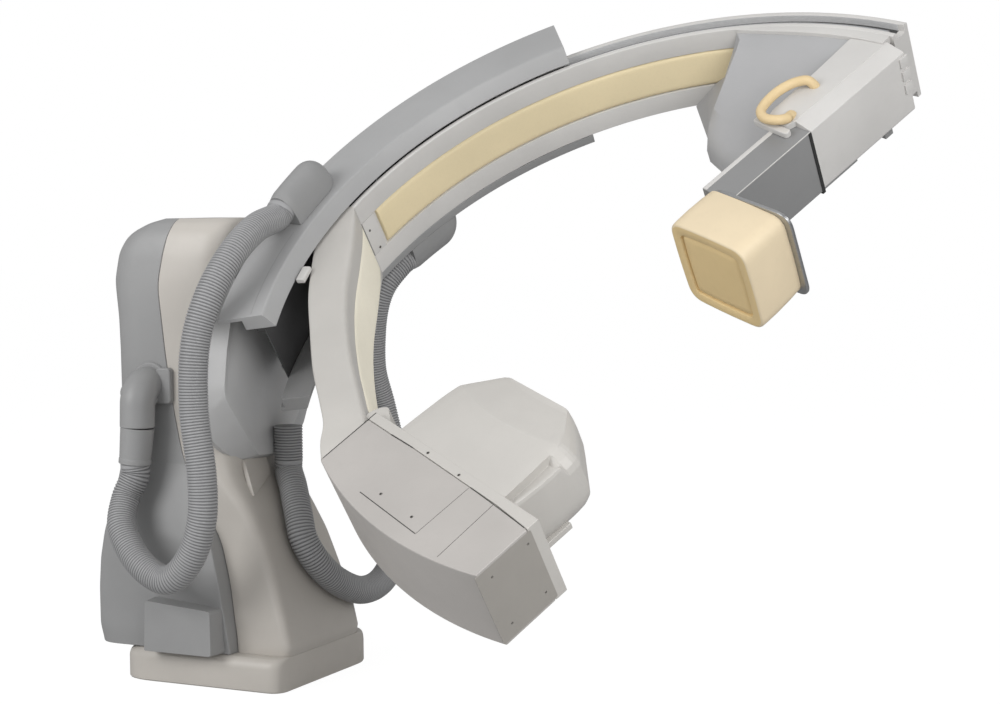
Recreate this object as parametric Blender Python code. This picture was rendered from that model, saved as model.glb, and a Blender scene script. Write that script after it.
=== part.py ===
import math

import bmesh
import bpy
from mathutils import Matrix, Vector

for item in list(bpy.data.objects):
    bpy.data.objects.remove(item)

# All lengths are in metres and all angles in degrees.
# The origin is on the floor under the middle of the stand, +X points to the isocentre.

# Clearances
GAP = 0.0003
PANEL_GAP = 0.0008

# Where the axes lie, in the pose of the photograph
AXIS_HEIGHT = 1.135
ISO_X = 1.429
RING_TILT = 49.8
BEAM_ANGLE = 27.8
STEP_ANGLE = 2.5

# Floor stand
FOOT_LENGTH = 0.580
FOOT_WIDTH = 0.580
FOOT_HEIGHT = 0.100
FOOT_CORNER = 0.075
FOOT_WALL = 0.012
PLATE_THICK = 0.040
STAND_HALF = 0.200
STAND_TOP = 1.402
STAND_WALL = 0.008
BACK_CORNER = 0.080
FRONT_CORNER = 0.105
COLUMN_BACK = -0.230
COLUMN_FRONT = 0.020
COLUMN_HALF = 0.150
COLUMN_SADDLE = 1.040
LOWER_CORNER = 0.060
CABLE_BOX_REACH = 0.340

# Main bearing, hub and pod
BEARING_OUTER = 0.165
BEARING_BACK = -0.120
BEARING_FRONT = 0.005
SHAFT_RADIUS = 0.120
SHAFT_STEPS = 60
DISC_RADIUS = 0.165
DISC_BACK = 0.040
HUB_CLEAR = 0.006
MOTOR_RADIUS = 0.080
MOTOR_LENGTH = 0.150
POD_BACK = 0.060
POD_RIDGE = 0.100
POD_DISH = 0.086
POD_HALF = 0.310
SPIGOT_RADIUS = 0.047
SPIGOT = (0.125, 0.050, 0.655)
SPIGOT_LENGTH = 0.100

# Ring: the arc and the sleeve round it
ARC_INNER = 1.150
ARC_OUTER = 1.225
ARC_HALF = 0.1365
ARC_START = 69.0
ARC_END = 165.0
GROOVE_LOW = 1.166
GROOVE_HIGH = 1.208
GROOVE_DEPTH = 0.025
RAIL_THICK = 0.0097
PANEL_HALF = 0.0655
PANEL_RECESS = 0.010
PANEL_START = 99.0
PANEL_END = 162.0
LIP_INNER = 1.161
LIP_SIDE = 0.144
SLEEVE_SHOULDER = 1.190
SLEEVE_HALF = 0.194
SLEEVE_OUTER = 1.335
SLEEVE_SKIN = 0.014
SLEEVE_START = 122.0
SLEEVE_END = 192.0
FRAME_INNER = 1.262
FRAME_OUTER = 1.290
BACK_COVER_IN = 1.318
BACK_COVER_OUT = 1.330
BACK_COVER_END = 163.0
ROLLER_ANGLES = {"upper": 128.0, "lower": 158.0}
ROLLER_RADIUS = 0.0155
ROLLER_HALF = 0.0095
AXLE_RADIUS = 0.006

# Lower arm, tube box and tube housing
ARM_END = -0.332
BOX_INNER = -0.850
BOX_END = 0.365
BOX_SEAM = 0.235
BOX_START_RADIUS = 1.071
BOX_RADIUS_GROWTH = 0.00113
BASE_THICK = 0.038
HOUSING_RIDGE = -0.620
HOUSING_TOP = -0.455
CAVITY_ROOF = -0.560
CAVITY_HALF = 0.100
TUBE_RADIUS = 0.075
COLLIMATOR_HALF = 0.080

# Detector end
CARRIAGE_LEFT = -0.205
CARRIAGE_RIGHT = -0.079
CARRIAGE_LOW = 0.690
CARRIAGE_TOP = 1.165
CARRIAGE_HALF = 0.119
CARRIAGE_WALL = 0.008
SLIDE_CLEAR = 0.0005
SEAT_CLEAR = 0.03
SLIDE_TOP = 0.850
SLIDE_TRAVEL = 0.260
DETECTOR_FRONT = 0.174
DETECTOR_HALF = 0.1485
DETECTOR_DEPTH = 0.161
DETECTOR_CORNER = 0.032
DETECTOR_WALL = 0.012
BACKING_THICK = 0.017
WINDOW_HALF = 0.112
WINDOW_RECESS = 0.006
SCREW_RADIUS = 0.012

# Hoses
HOSE_RADIUS = 0.044
HOSE_STRAIGHT = 0.036
ELBOW_RADIUS = 0.055
ELBOW_BEND = 0.062
ELBOW_X = -0.222
ELBOW_Z = 0.900
CUFF_TOP = 0.770
CUFF_LENGTH = 0.110
FITTING_LIFT = 0.055
FITTING_HALF = 0.054
NEAR_FITTING = {"radius": 1.270, "start": 163.0, "end": 173.0}
FAR_FITTING = {"radius": 1.250, "start": 146.5, "end": 156.5}

COLOURS = {
    "cream": ((0.52, 0.49, 0.45), 0.55, 0.0),
    "grey": ((0.31, 0.31, 0.31), 0.55, 0.0),
    "light": ((0.60, 0.59, 0.57), 0.50, 0.0),
    "yellow": ((0.68, 0.59, 0.40), 0.70, 0.0),
    "beige": ((0.74, 0.59, 0.40), 0.60, 0.0),
    "slide": ((0.22, 0.22, 0.22), 0.45, 0.2),
    "steel": ((0.55, 0.55, 0.56), 0.30, 1.0),
    "iron": ((0.14, 0.15, 0.16), 0.60, 0.4),
    "hose": ((0.24, 0.24, 0.25), 0.65, 0.0),
}


def paint(name):
    """One Principled material for each finish."""
    found = bpy.data.materials.get(name)
    if found:
        return found
    colour, roughness, metallic = COLOURS[name]
    made = bpy.data.materials.new(name)
    made.use_nodes = True
    shader = made.node_tree.nodes["Principled BSDF"]
    shader.inputs["Base Color"].default_value = (*colour, 1)
    shader.inputs["Roughness"].default_value = roughness
    shader.inputs["Metallic"].default_value = metallic
    return made


def frame(name, matrix, parent=None):
    """An empty whose axes a group of pieces is drawn in."""
    empty = bpy.data.objects.new(name, None)
    bpy.context.collection.objects.link(empty)
    empty.parent = parent
    empty.matrix_local = matrix
    return empty


def place(name, mesh, finish, parent):
    """Puts a mesh in the scene, or keeps it as a hidden cutter where it has no finish."""
    piece = bpy.data.objects.new(name, mesh)
    bpy.context.collection.objects.link(piece)
    piece.parent = parent
    if finish is None:
        piece.hide_render = True
        piece.display_type = "WIRE"
    else:
        mesh.materials.append(paint(finish))
        mesh.shade_smooth()
        mesh.set_sharp_from_angle(angle=math.radians(32))
    return piece


def loft(name, rings, finish, parent, closed=False):
    """Skins rings of points. An open loft gets a cap at each end."""
    shape = bmesh.new()
    rows = [[shape.verts.new(point) for point in ring] for ring in rings]
    count = len(rows[0])
    pairs = list(zip(rows, rows[1:]))
    if closed:
        pairs.append((rows[-1], rows[0]))
    for low, high in pairs:
        for i in range(count):
            j = (i + 1) % count
            shape.faces.new((low[i], low[j], high[j], high[i]))
    if closed:
        bmesh.ops.remove_doubles(shape, verts=shape.verts, dist=1e-6)
    else:
        shape.faces.new(rows[0])
        shape.faces.new(rows[-1])
    bmesh.ops.recalc_face_normals(shape, faces=shape.faces)
    mesh = bpy.data.meshes.new(name)
    shape.to_mesh(mesh)
    shape.free()
    return place(name, mesh, finish, parent)


def prism(name, outline, low, high, finish, parent):
    """Extrudes an outline along the frame's Z."""
    return loft(name, [[(x, y, z) for x, y in outline] for z in (low, high)], finish, parent)


def bore_round(radius, steps):
    """The bore that clears a turned piece of this radius at every angle."""
    return radius / math.cos(math.pi / steps) + GAP


def turned(name, profile, finish, parent, steps=32):
    """Turns a closed profile of (radius, height) points about the frame's Z."""
    rings = []
    for i in range(steps):
        angle = 2 * math.pi * i / steps
        rings.append([(r * math.cos(angle), r * math.sin(angle), h) for r, h in profile])
    return loft(name, rings, finish, parent, closed=True)


def polar(radius, angle, depth=0.0):
    return (radius * math.cos(math.radians(angle)), radius * math.sin(math.radians(angle)), depth)


def ring_angles(start, end):
    """Both ends, and the shared steps between them, so that neighbours have matching facets."""
    first = math.floor(start / STEP_ANGLE) + 1
    last = math.ceil(end / STEP_ANGLE)
    return [start] + [STEP_ANGLE * k for k in range(first, last)] + [end]


def swept(name, section, start, end, finish, parent):
    """Carries a section of (radius, depth) points round the ring."""
    rings = [[polar(r, angle, depth) for r, depth in section] for angle in ring_angles(start, end)]
    return loft(name, rings, finish, parent)


def rectangle(left, right, low, high):
    return [(left, low), (right, low), (right, high), (left, high)]


def rounded(left, right, low, high, radii, steps=5):
    """A rectangle with its four corners rounded, from the lower left one."""
    centres = [(left, low, 1, 1), (right, low, -1, 1), (right, high, -1, -1), (left, high, 1, -1)]
    points = []
    for k, (x, y, sx, sy) in enumerate(centres):
        for i in range(steps + 1):
            angle = math.radians(180 + 90 * k + 90 * i / steps)
            cx = x + sx * radii[k]
            cy = y + sy * radii[k]
            points.append((cx + radii[k] * math.cos(angle), cy + radii[k] * math.sin(angle)))
    return points


def smooth(points, spacing):
    """A Catmull-Rom curve through the points, read at about this spacing."""
    knots = [Vector(p) for p in points]
    knots = [2 * knots[0] - knots[1]] + knots + [2 * knots[-1] - knots[-2]]
    line = [knots[1]]
    for a, b, c, d in zip(knots, knots[1:], knots[2:], knots[3:]):
        steps = max(1, round((c - b).length / spacing))
        for i in range(1, steps + 1):
            t = i / steps
            line.append(
                0.5 * (2 * b + (c - a) * t + (2 * a - 5 * b + 4 * c - d) * t**2
                       + (3 * b - a - 3 * c + d) * t**3)
            )
    return line


def tube(name, points, radius, finish, parent=None):
    """A round tube along a line of points, with closed ends."""
    curve = bpy.data.curves.new(name, "CURVE")
    curve.dimensions = "3D"
    curve.bevel_depth = radius
    curve.bevel_resolution = 3
    curve.use_fill_caps = True
    spline = curve.splines.new("POLY")
    spline.points.add(len(points) - 1)
    for knot, point in zip(spline.points, points):
        knot.co = (*point, 1)
    curve.materials.append(paint(finish))
    piece = bpy.data.objects.new(name, curve)
    bpy.context.collection.objects.link(piece)
    piece.parent = parent
    return piece


def cut(piece, cutter, operation="DIFFERENCE"):
    modifier = piece.modifiers.new(cutter.name, "BOOLEAN")
    modifier.operation = operation
    modifier.object = cutter
    cutter.hide_render = True
    cutter.display_type = "WIRE"


def soften(piece, width, segments=2, angle=35):
    modifier = piece.modifiers.new("soft_edges", "BEVEL")
    modifier.width = width
    modifier.segments = segments
    modifier.limit_method = "ANGLE"
    modifier.angle_limit = math.radians(angle)


# Frames
LEVEL = Matrix.Identity(4)
SIDE_TURN = Matrix(((1, 0, 0, 0), (0, 0, -1, 0), (0, 1, 0, 0), (0, 0, 0, 1)))
FRONT_TURN = Matrix(((0, 0, 1, 0), (1, 0, 0, 0), (0, 1, 0, 0), (0, 0, 0, 1)))

stand = frame("stand_frame", LEVEL)
side = frame("side_frame", SIDE_TURN, stand)
front = frame("front_frame", FRONT_TURN, stand)
axis = frame("axis_frame", Matrix.Translation((0, 0, AXIS_HEIGHT)) @ FRONT_TURN, stand)
ring_turn = Matrix.Rotation(math.radians(90 - RING_TILT), 4, "X")
carrier = frame("carrier_frame", Matrix.Translation((ISO_X, 0, AXIS_HEIGHT)) @ ring_turn)
hub_axis = frame("hub_frame", Matrix.Translation((-ISO_X, 0, 0)) @ FRONT_TURN, carrier)
arc = frame("arc_frame", LEVEL, carrier)
beam = frame("beam_frame", Matrix.Rotation(math.radians(-BEAM_ANGLE), 4, "Z"), arc)
across = frame("across_frame", Matrix.Rotation(math.radians(-90), 4, "X"), beam)
detector = frame("detector_frame", LEVEL, beam)
detector_across = frame("detector_across_frame", Matrix.Rotation(math.radians(-90), 4, "X"), detector)


# Stand
# Each station of the column's cover: height, back, front, half width
STAND_STATIONS = [
    (FOOT_HEIGHT + GAP, -0.343, 0.270, STAND_HALF + 0.030),
    (0.200, -0.360, 0.262, STAND_HALF + 0.028),
    (0.330, -0.361, 0.222, STAND_HALF + 0.015),
    (0.430, -0.361, 0.187, STAND_HALF + 0.006),
    (0.500, -0.361, 0.152, STAND_HALF),
    (0.571, -0.361, 0.104, STAND_HALF),
    (0.605, -0.361, 0.074, STAND_HALF),
    (0.655, -0.360, POD_BACK - 0.004, STAND_HALF),
    (0.900, -0.359, POD_BACK - GAP, STAND_HALF),
    (1.100, -0.362, POD_BACK - GAP, STAND_HALF),
    (1.215, -0.374, POD_BACK - GAP, STAND_HALF),
    (1.300, -0.359, POD_BACK - GAP, STAND_HALF - 0.004),
    (1.352, -0.325, POD_BACK - 0.002, STAND_HALF - 0.014),
    (1.385, -0.262, 0.048, STAND_HALF - 0.034),
    (STAND_TOP, -0.195, 0.020, STAND_HALF - 0.062),
]
# The lower rear cover wraps the back and both sides: height, back, half width
LOWER_COVER_STATIONS = [
    (FOOT_HEIGHT + GAP, -0.384, 0.270),
    (0.155, -0.392, 0.279),
    (0.270, -0.392, 0.280),
    (0.360, -0.390, 0.274),
    (0.440, -0.383, 0.262),
    (0.500, -0.375, 0.244),
    (0.540, -0.367, 0.222),
]
# Where the cream cover meets the grey one, seen from the side
COVER_SEAM = [
    (-0.120, 1.480), (-0.148, 1.360), (-0.180, 1.200), (-0.154, 0.980), (-0.126, 0.810),
    (-0.097, 0.675), (-0.030, 0.540), (0.055, 0.430), (0.105, 0.300), (0.133, 0.150), (0.138, 0.020),
]


def stand_rings(out):
    """The column cover's plan at each station, grown by out."""
    rings = []
    radii = [BACK_CORNER, FRONT_CORNER, FRONT_CORNER, BACK_CORNER]
    for height, back, face, half in STAND_STATIONS:
        plan = rounded(back - out, face + out, -half - out, half + out, radii)
        rings.append([(x, y, height) for x, y in plan])
    return rings


def seam_region(name, shift, reach):
    """Everything on one side of the seam, as a cutter."""
    seam = [(p.x + shift, p.y) for p in smooth([(x, z, 0) for x, z in COVER_SEAM], 0.05)]
    outline = seam + [(reach, seam[-1][1]), (reach, seam[0][1])]
    return prism(name, outline, -0.5, 0.5, None, side)


def lower_cover_rings(grow):
    rings = []
    radii = [LOWER_CORNER, 0.02, 0.02, LOWER_CORNER]
    for height, back, half in LOWER_COVER_STATIONS:
        plan = rounded(back - grow, 0.30, -half - grow, half + grow, radii)
        rings.append([(x, y, height) for x, y in plan])
    return rings


def make_stand():
    half_length = FOOT_LENGTH / 2
    half_width = FOOT_WIDTH / 2
    inset = FOOT_WALL + GAP
    plate = rounded(-half_length + inset, half_length - inset, -half_width + inset, half_width - inset,
                    [FOOT_CORNER - FOOT_WALL] * 4)
    prism("floor_plate", plate, 0, PLATE_THICK, "iron", stand)

    rings = []
    for height, inward in ((0.0, 0.0), (0.045, 0.0), (0.080, 0.005), (0.094, 0.012), (FOOT_HEIGHT, 0.024)):
        outline = rounded(-half_length + inward, half_length - inward, -half_width + inward,
                          half_width - inward, [FOOT_CORNER] * 4)
        rings.append([(x, y, height) for x, y in outline])
    foot = loft("foot_cover", rings, "cream", stand)
    hollow = rounded(-half_length + FOOT_WALL, half_length - FOOT_WALL, -half_width + FOOT_WALL,
                     half_width - FOOT_WALL, [FOOT_CORNER - FOOT_WALL] * 4)
    cut(foot, prism("foot_hollow", hollow, -0.05, PLATE_THICK + GAP, None, stand))
    well = rectangle(COLUMN_BACK - 0.02, COLUMN_FRONT + 0.08, -COLUMN_HALF - 0.02, COLUMN_HALF + 0.02)
    cut(foot, prism("foot_well", well, -0.05, 0.2, None, stand))

    rings = []
    stations = ((PLATE_THICK + GAP, 0.016, 0.070), (0.075, 0.016, 0.070), (0.085, 0.0, 0.055),
                (0.500, 0.0, 0.020), (COLUMN_SADDLE, 0.0, 0.0))
    for height, out, forward in stations:
        outline = rounded(COLUMN_BACK - out, COLUMN_FRONT + forward, -COLUMN_HALF - out,
                          COLUMN_HALF + out, [0.02] * 4, steps=2)
        rings.append([(x, y, height) for x, y in outline])
    column = loft("column_casting", rings, "iron", stand)
    saddle = [(0, -0.4), (BEARING_OUTER + GAP, -0.4), (BEARING_OUTER + GAP, 0.4), (0, 0.4)]
    cut(column, turned("saddle_cutter", saddle, None, axis, SHAFT_STEPS))

    lip = 0.012
    bore = bore_round(SHAFT_RADIUS, SHAFT_STEPS)
    housing = [(bore, BEARING_BACK), (BEARING_OUTER - lip, BEARING_BACK),
               (BEARING_OUTER, BEARING_BACK + lip), (BEARING_OUTER, BEARING_FRONT - lip),
               (BEARING_OUTER - lip, BEARING_FRONT), (bore, BEARING_FRONT)]
    turned("bearing_housing", housing, "iron", axis, SHAFT_STEPS)
    rear = BEARING_BACK - GAP
    flange = SHAFT_RADIUS + 0.02
    motor = [(0, rear - MOTOR_LENGTH), (MOTOR_RADIUS - 0.01, rear - MOTOR_LENGTH),
             (MOTOR_RADIUS, rear - MOTOR_LENGTH + 0.01), (MOTOR_RADIUS, rear - 0.02),
             (flange, rear - 0.02), (flange, rear), (0, rear)]
    turned("propeller_motor", motor, "iron", axis)


def make_stand_covers():
    hub_hole = DISC_RADIUS + HUB_CLEAR
    through = [(0, -0.05), (hub_hole, -0.05), (hub_hole, 0.3), (0, 0.3)]
    hole = turned("hub_hole_cutter", through, None, axis)
    rings = stand_rings(-STAND_WALL)
    rings.insert(0, [(x, y, 0.0) for x, y, z in rings[0]])
    rings[-1] = [(x, y, z - STAND_WALL) for x, y, z in rings[-1]]
    hollow = loft("stand_hollow", rings, None, stand)

    cream = loft("front_cover", stand_rings(0), "cream", stand)
    cut(cream, seam_region("behind_seam", GAP / 2, -0.8))
    cut(cream, hollow)
    cut(cream, hole)
    grey = loft("back_cover", stand_rings(0), "grey", stand)
    cut(grey, seam_region("before_seam", -GAP / 2, 0.8))
    cut(grey, hollow)

    lower = loft("lower_rear_cover", lower_cover_rings(0), "grey", stand)
    inner = stand_rings(GAP)
    inner.insert(0, [(x, y, 0.0) for x, y, z in inner[0]])
    cut(lower, loft("lower_cover_hollow", inner, None, stand))
    cut(lower, seam_region("before_lower_cover", 0.0, 0.8))

    box = [(-0.160, FOOT_HEIGHT + 0.004), (0.100, FOOT_HEIGHT + 0.004), (0.086, 0.205),
           (0.062, 0.243), (-0.138, 0.250), (-0.152, 0.236)]
    cable_box = prism("cable_box", box, STAND_HALF - 0.02, CABLE_BOX_REACH, "grey", side)
    soften(cable_box, 0.008)
    seat = lower_cover_rings(GAP)
    seat.insert(0, [(x, y, -0.1) for x, y, z in seat[0]])
    cut(cable_box, loft("cable_box_seat", seat, None, stand))
    return hole


def pod_outline(lower, upper):
    """Both halves of the pod's outline, from points (half width, height) up one side."""
    right = lower + upper
    left = [(-y, z) for y, z in reversed(right) if y > 0]
    return right + left


def clear_of_sleeve(y, z):
    """How far forward the pod may come here, under the circle that the turning sleeve sweeps."""
    out = max(0.0, y**2 + (z - AXIS_HEIGHT)**2 - SLEEVE_HALF**2)
    return min(POD_RIDGE, ISO_X - math.sqrt(SLEEVE_OUTER**2 - out) - HUB_CLEAR)


def make_pod(hole):
    rim = pod_outline([(0, 0.655), (0.120, 0.672), (0.225, 0.735), (POD_HALF, 0.820)],
                      [(POD_HALF, 1.280), (0.225, 1.350), (0.120, 1.380), (0, 1.386)])
    ridge = pod_outline([(0, 0.722), (0.100, 0.742), (0.178, 0.800), (POD_HALF - 0.022, 0.890)],
                        [(POD_HALF - 0.022, 1.235), (0.178, 1.300), (0.100, 1.330), (0, 1.338)])
    dish = [(y * 0.72, AXIS_HEIGHT + (z - AXIS_HEIGHT) * 0.60) for y, z in ridge]
    rings = [[(y, z, POD_BACK) for y, z in rim], [(y, z, clear_of_sleeve(y, z)) for y, z in ridge],
             [(y, z, POD_DISH) for y, z in dish]]
    pod = loft("bearing_pod", rings, "grey", front)
    spigot = [(0, 0), (SPIGOT_RADIUS, 0), (SPIGOT_RADIUS, SPIGOT_LENGTH), (0, SPIGOT_LENGTH)]
    spigot_frame = frame("spigot_frame", Matrix.Translation(SPIGOT), stand)
    cut(pod, turned("hose_spigot", spigot, None, spigot_frame, steps=20), "UNION")
    cut(pod, hole)


def make_elbow():
    """A quarter bend from the stand's side face down to the cuff."""
    rings = []
    start = -STAND_HALF - GAP
    stub = 0.010
    path = [(start, ELBOW_Z, 0)]
    for i in range(7):
        angle = math.radians(90 * i / 6)
        path.append((start - stub - ELBOW_BEND * math.sin(angle),
                     ELBOW_Z - ELBOW_BEND * (1 - math.cos(angle)), 90 * i / 6))
    path.append((start - stub - ELBOW_BEND, CUFF_TOP + GAP, 90))
    for y, z, turn in path:
        ring = []
        for k in range(20):
            angle = 2 * math.pi * k / 20
            u = ELBOW_RADIUS * math.cos(angle)
            v = ELBOW_RADIUS * math.sin(angle)
            ring.append((ELBOW_X + u, y - v * math.sin(math.radians(turn)), z + v * math.cos(math.radians(turn))))
        rings.append(ring)
    elbow = loft("hose_elbow", rings, "grey", stand)
    cap = 0.040
    ball = [(0, 0)]
    for i in range(7):
        angle = math.radians(90 * i / 6)
        ball.append((cap * math.cos(angle), 0.062 + cap * math.sin(angle)))
    ball.insert(1, (cap, 0))
    ball[-1] = (0, 0.062 + cap)
    ball_turn = Matrix.Rotation(math.radians(-90), 4, "Y")
    ball_frame = frame("elbow_cap_frame",
                       Matrix.Translation((ELBOW_X, start - stub - 0.034, ELBOW_Z - 0.020)) @ ball_turn, stand)
    cut(elbow, turned("elbow_cap", ball, None, ball_frame, steps=20), "UNION")
    cuff_frame = frame("cuff_frame", Matrix.Translation((ELBOW_X, start - stub - ELBOW_BEND, CUFF_TOP)), stand)
    cuff = [(0, 0), (ELBOW_RADIUS - 0.003, 0), (ELBOW_RADIUS - 0.004, -0.04),
            (HOSE_RADIUS + 0.004, -0.06), (HOSE_RADIUS + 0.003, -CUFF_LENGTH), (0, -CUFF_LENGTH)]
    turned("hose_cuff", cuff, "grey", cuff_frame, steps=24)


# Carrier
ROLLER_CENTRE = GROOVE_LOW + GAP + RAIL_THICK + GAP + ROLLER_RADIUS
ROLLER_DEPTH = ARC_HALF - GROOVE_DEPTH / 2


def mirrored(section, sign):
    return [(r, sign * depth) for r, depth in section]


def make_sleeve():
    inner_face = SLEEVE_HALF - SLEEVE_SKIN
    rib_top = FRAME_INNER - 0.0035
    section = [(LIP_INNER, LIP_SIDE), (SLEEVE_SHOULDER, SLEEVE_HALF), (SLEEVE_OUTER, SLEEVE_HALF),
               (SLEEVE_OUTER, inner_face), (rib_top, inner_face), (rib_top, LIP_SIDE)]
    swept("sleeve_cover_near", section, SLEEVE_START, SLEEVE_END, "grey", carrier)
    swept("sleeve_cover_far", mirrored(section, -1), SLEEVE_START, SLEEVE_END, "grey", carrier)
    reach = inner_face - GAP
    swept("sleeve_frame", rectangle(FRAME_INNER, FRAME_OUTER, -reach, reach),
          SLEEVE_START + 1.0, SLEEVE_END - 1.0, "iron", carrier)
    swept("sleeve_back_cover", rectangle(BACK_COVER_IN, BACK_COVER_OUT, -reach, reach),
          SLEEVE_START + 1.0, BACK_COVER_END, "grey", carrier)
    swept("sleeve_end_plate", rectangle(FRAME_INNER, SLEEVE_OUTER, -reach, reach),
          SLEEVE_START, SLEEVE_START + 0.98, "grey", carrier)
    pad = [(LIP_INNER + 0.004, LIP_SIDE - GAP), (SLEEVE_SHOULDER + 0.01, LIP_SIDE - GAP),
           (SLEEVE_SHOULDER + 0.01, ARC_HALF + 0.002), (LIP_INNER + 0.004, ARC_HALF + 0.002)]
    swept("mouth_pad", pad, SLEEVE_END - 12, SLEEVE_END - 8, "light", carrier)

    shaft = [(0, BEARING_BACK + 0.005), (SHAFT_RADIUS, BEARING_BACK + 0.005), (SHAFT_RADIUS, DISC_BACK),
             (DISC_RADIUS, DISC_BACK), (DISC_RADIUS, 0.170), (0, 0.170)]
    shaft = turned("hub_shaft", shaft, "iron", hub_axis, SHAFT_STEPS)
    seat = rectangle(0.9, FRAME_OUTER + GAP, -0.3, 0.3)
    cut(shaft, swept("hub_seat_cutter", seat, 165, 195, None, carrier))


def make_rollers():
    for place_name, angle in ROLLER_ANGLES.items():
        for side_name, sign in (("near", 1), ("far", -1)):
            x, y, depth = polar(ROLLER_CENTRE, angle, sign * ROLLER_DEPTH)
            turn = Matrix.Rotation(0 if sign > 0 else math.pi, 4, "X")
            spot = frame(f"{place_name}_{side_name}_roller_frame", Matrix.Translation((x, y, depth)) @ turn, carrier)
            bore = bore_round(AXLE_RADIUS, 20)
            wheel = [(bore, -ROLLER_HALF), (ROLLER_RADIUS - 0.0015, -ROLLER_HALF),
                     (ROLLER_RADIUS, -ROLLER_HALF + 0.0015), (ROLLER_RADIUS, ROLLER_HALF - 0.0015),
                     (ROLLER_RADIUS - 0.0015, ROLLER_HALF), (bore, ROLLER_HALF)]
            turned(f"guide_roller_{place_name}_{side_name}", wheel, "steel", spot, steps=20)
            collar = ROLLER_HALF + GAP
            wall = LIP_SIDE - GAP - ROLLER_DEPTH
            pin = [(0, -ROLLER_HALF), (AXLE_RADIUS, -ROLLER_HALF), (AXLE_RADIUS, collar),
                   (AXLE_RADIUS + 0.004, collar), (AXLE_RADIUS + 0.004, wall), (0, wall)]
            turned(f"roller_axle_{place_name}_{side_name}", pin, "steel", spot, steps=16)


def make_fitting(name, spec, sign):
    """A rounded hood on the sleeve's side, flat below, with the hose leaving at its lower end."""
    rings = []
    length = spec["end"] - spec["start"]
    base = SLEEVE_HALF + GAP
    stations = ((0.0, 0.30), (0.04, 0.52), (0.12, 0.76), (0.25, 0.94), (0.40, 1.0), (0.85, 1.0), (1.0, 0.94))
    for along, share in stations:
        angle = spec["start"] + length * along
        half = FITTING_HALF * share
        height = 2 * FITTING_LIFT * share
        ring = [(spec["radius"] - half, base)]
        for k in range(13):
            turn = math.radians(180 - 180 * k / 12)
            ring.append((spec["radius"] + half * math.cos(turn), base + 0.012 * share + (height - 0.012 * share) * math.sin(turn)))
        ring.append((spec["radius"] + half, base))
        rings.append([polar(r, angle, sign * depth) for r, depth in ring])
    loft(name, rings, "grey", carrier)


# Arc
def make_arc():
    floor = ARC_HALF - GROOVE_DEPTH
    recess = ARC_INNER + PANEL_RECESS
    edge = PANEL_HALF + GAP
    right = [(ARC_INNER, edge), (ARC_INNER, ARC_HALF), (GROOVE_LOW, ARC_HALF), (GROOVE_LOW, floor),
             (GROOVE_HIGH, floor), (GROOVE_HIGH, ARC_HALF), (ARC_OUTER, ARC_HALF)]
    section = [(recess, edge)] + right + mirrored(right[::-1], -1) + [(recess, -edge)]
    swept("arc_beam", section, ARC_START, ARC_END, "light", arc)
    low = GROOVE_LOW + GAP
    rail = rectangle(low, low + RAIL_THICK, floor + GAP, ARC_HALF - 0.004)
    swept("rail_near", rail, ARC_START + 1.5, ARC_END - 1.0, "steel", arc)
    swept("rail_far", mirrored(rail, -1), ARC_START + 1.5, ARC_END - 1.0, "steel", arc)
    panel = rectangle(ARC_INNER + 0.002, recess - GAP, -PANEL_HALF, PANEL_HALF)
    swept("inner_panel", panel, PANEL_START, PANEL_END, "yellow", arc)
    swept("joint_plate", panel, PANEL_END + 0.03, ARC_END, "light", arc)


# The lower arm's edges, as (radius, angle) from the arc down to the tube box
ARM_INNER = [(ARC_INNER, ARC_END), (1.125, 166.4), (1.082, 169.7), (1.037, 174.6), (0.985, 183.2),
             (0.945, 191.8), (0.915, 201.4), (0.901, 211.0)]
ARM_OUTER = [(ARC_OUTER, ARC_END), (1.222, 168.0), (1.205, 171.5), (1.153, 177.5), (1.104, 185.0),
             (1.058, 193.2), (1.030, 203.0), (1.018, 211.5), (1.024, 216.7), (1.050, 220.4)]


def to_ring(across_beam, along_beam):
    """A point given across and along the beam, in the ring's own axes."""
    turn = math.radians(BEAM_ANGLE)
    return (across_beam * math.cos(turn) + along_beam * math.sin(turn),
            along_beam * math.cos(turn) - across_beam * math.sin(turn))


def edge_line(stations, last):
    points = [polar(r, angle) for r, angle in stations]
    points.append((*to_ring(*last), 0))
    return [(p.x, p.y) for p in smooth(points, 0.045)]


def arm_edges():
    inner = edge_line(ARM_INNER, (ARM_END, BOX_INNER))
    outer = edge_line(ARM_OUTER, (ARM_END, -1.018))
    return inner, outer


def along_radius(point, amount):
    """Moves a point of the ring plane towards the ring's axis."""
    length = math.hypot(*point)
    share = (length - amount) / length
    return (point[0] * share, point[1] * share)


def make_lower_arm():
    inner, outer = arm_edges()
    joint = math.radians(ARC_END)
    slide = (-math.sin(joint) * GAP, math.cos(joint) * GAP)
    inner[0] = (inner[0][0] + slide[0], inner[0][1] + slide[1])
    outer[0] = (outer[0][0] + slide[0], outer[0][1] + slide[1])
    prism("lower_arm", inner + outer[::-1], -ARC_HALF, ARC_HALF, "light", arc)
    strip = inner[3:-2]
    face = [along_radius(point, GAP) for point in strip]
    top = [along_radius(point, 0.004) for point in strip]
    prism("lower_panel", face + top[::-1], -PANEL_HALF, PANEL_HALF, "yellow", arc)


def box_outer(across_beam):
    """The tube box's outer edge: the radius grows slowly with the angle, read at a place across the beam."""
    angle = 224.0
    for _ in range(12):
        radius = BOX_START_RADIUS + (angle - 224.0) * BOX_RADIUS_GROWTH
        angle = 270 - BEAM_ANGLE + math.degrees(math.asin(across_beam / radius))
    return -math.sqrt(radius**2 - across_beam**2)


def box_outline(left, right):
    count = max(2, round((right - left) / 0.06))
    places = [left + (right - left) * i / count for i in range(count + 1)]
    return [(right, BOX_INNER), (left, BOX_INNER)] + [(place_, box_outer(place_)) for place_ in places]


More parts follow.
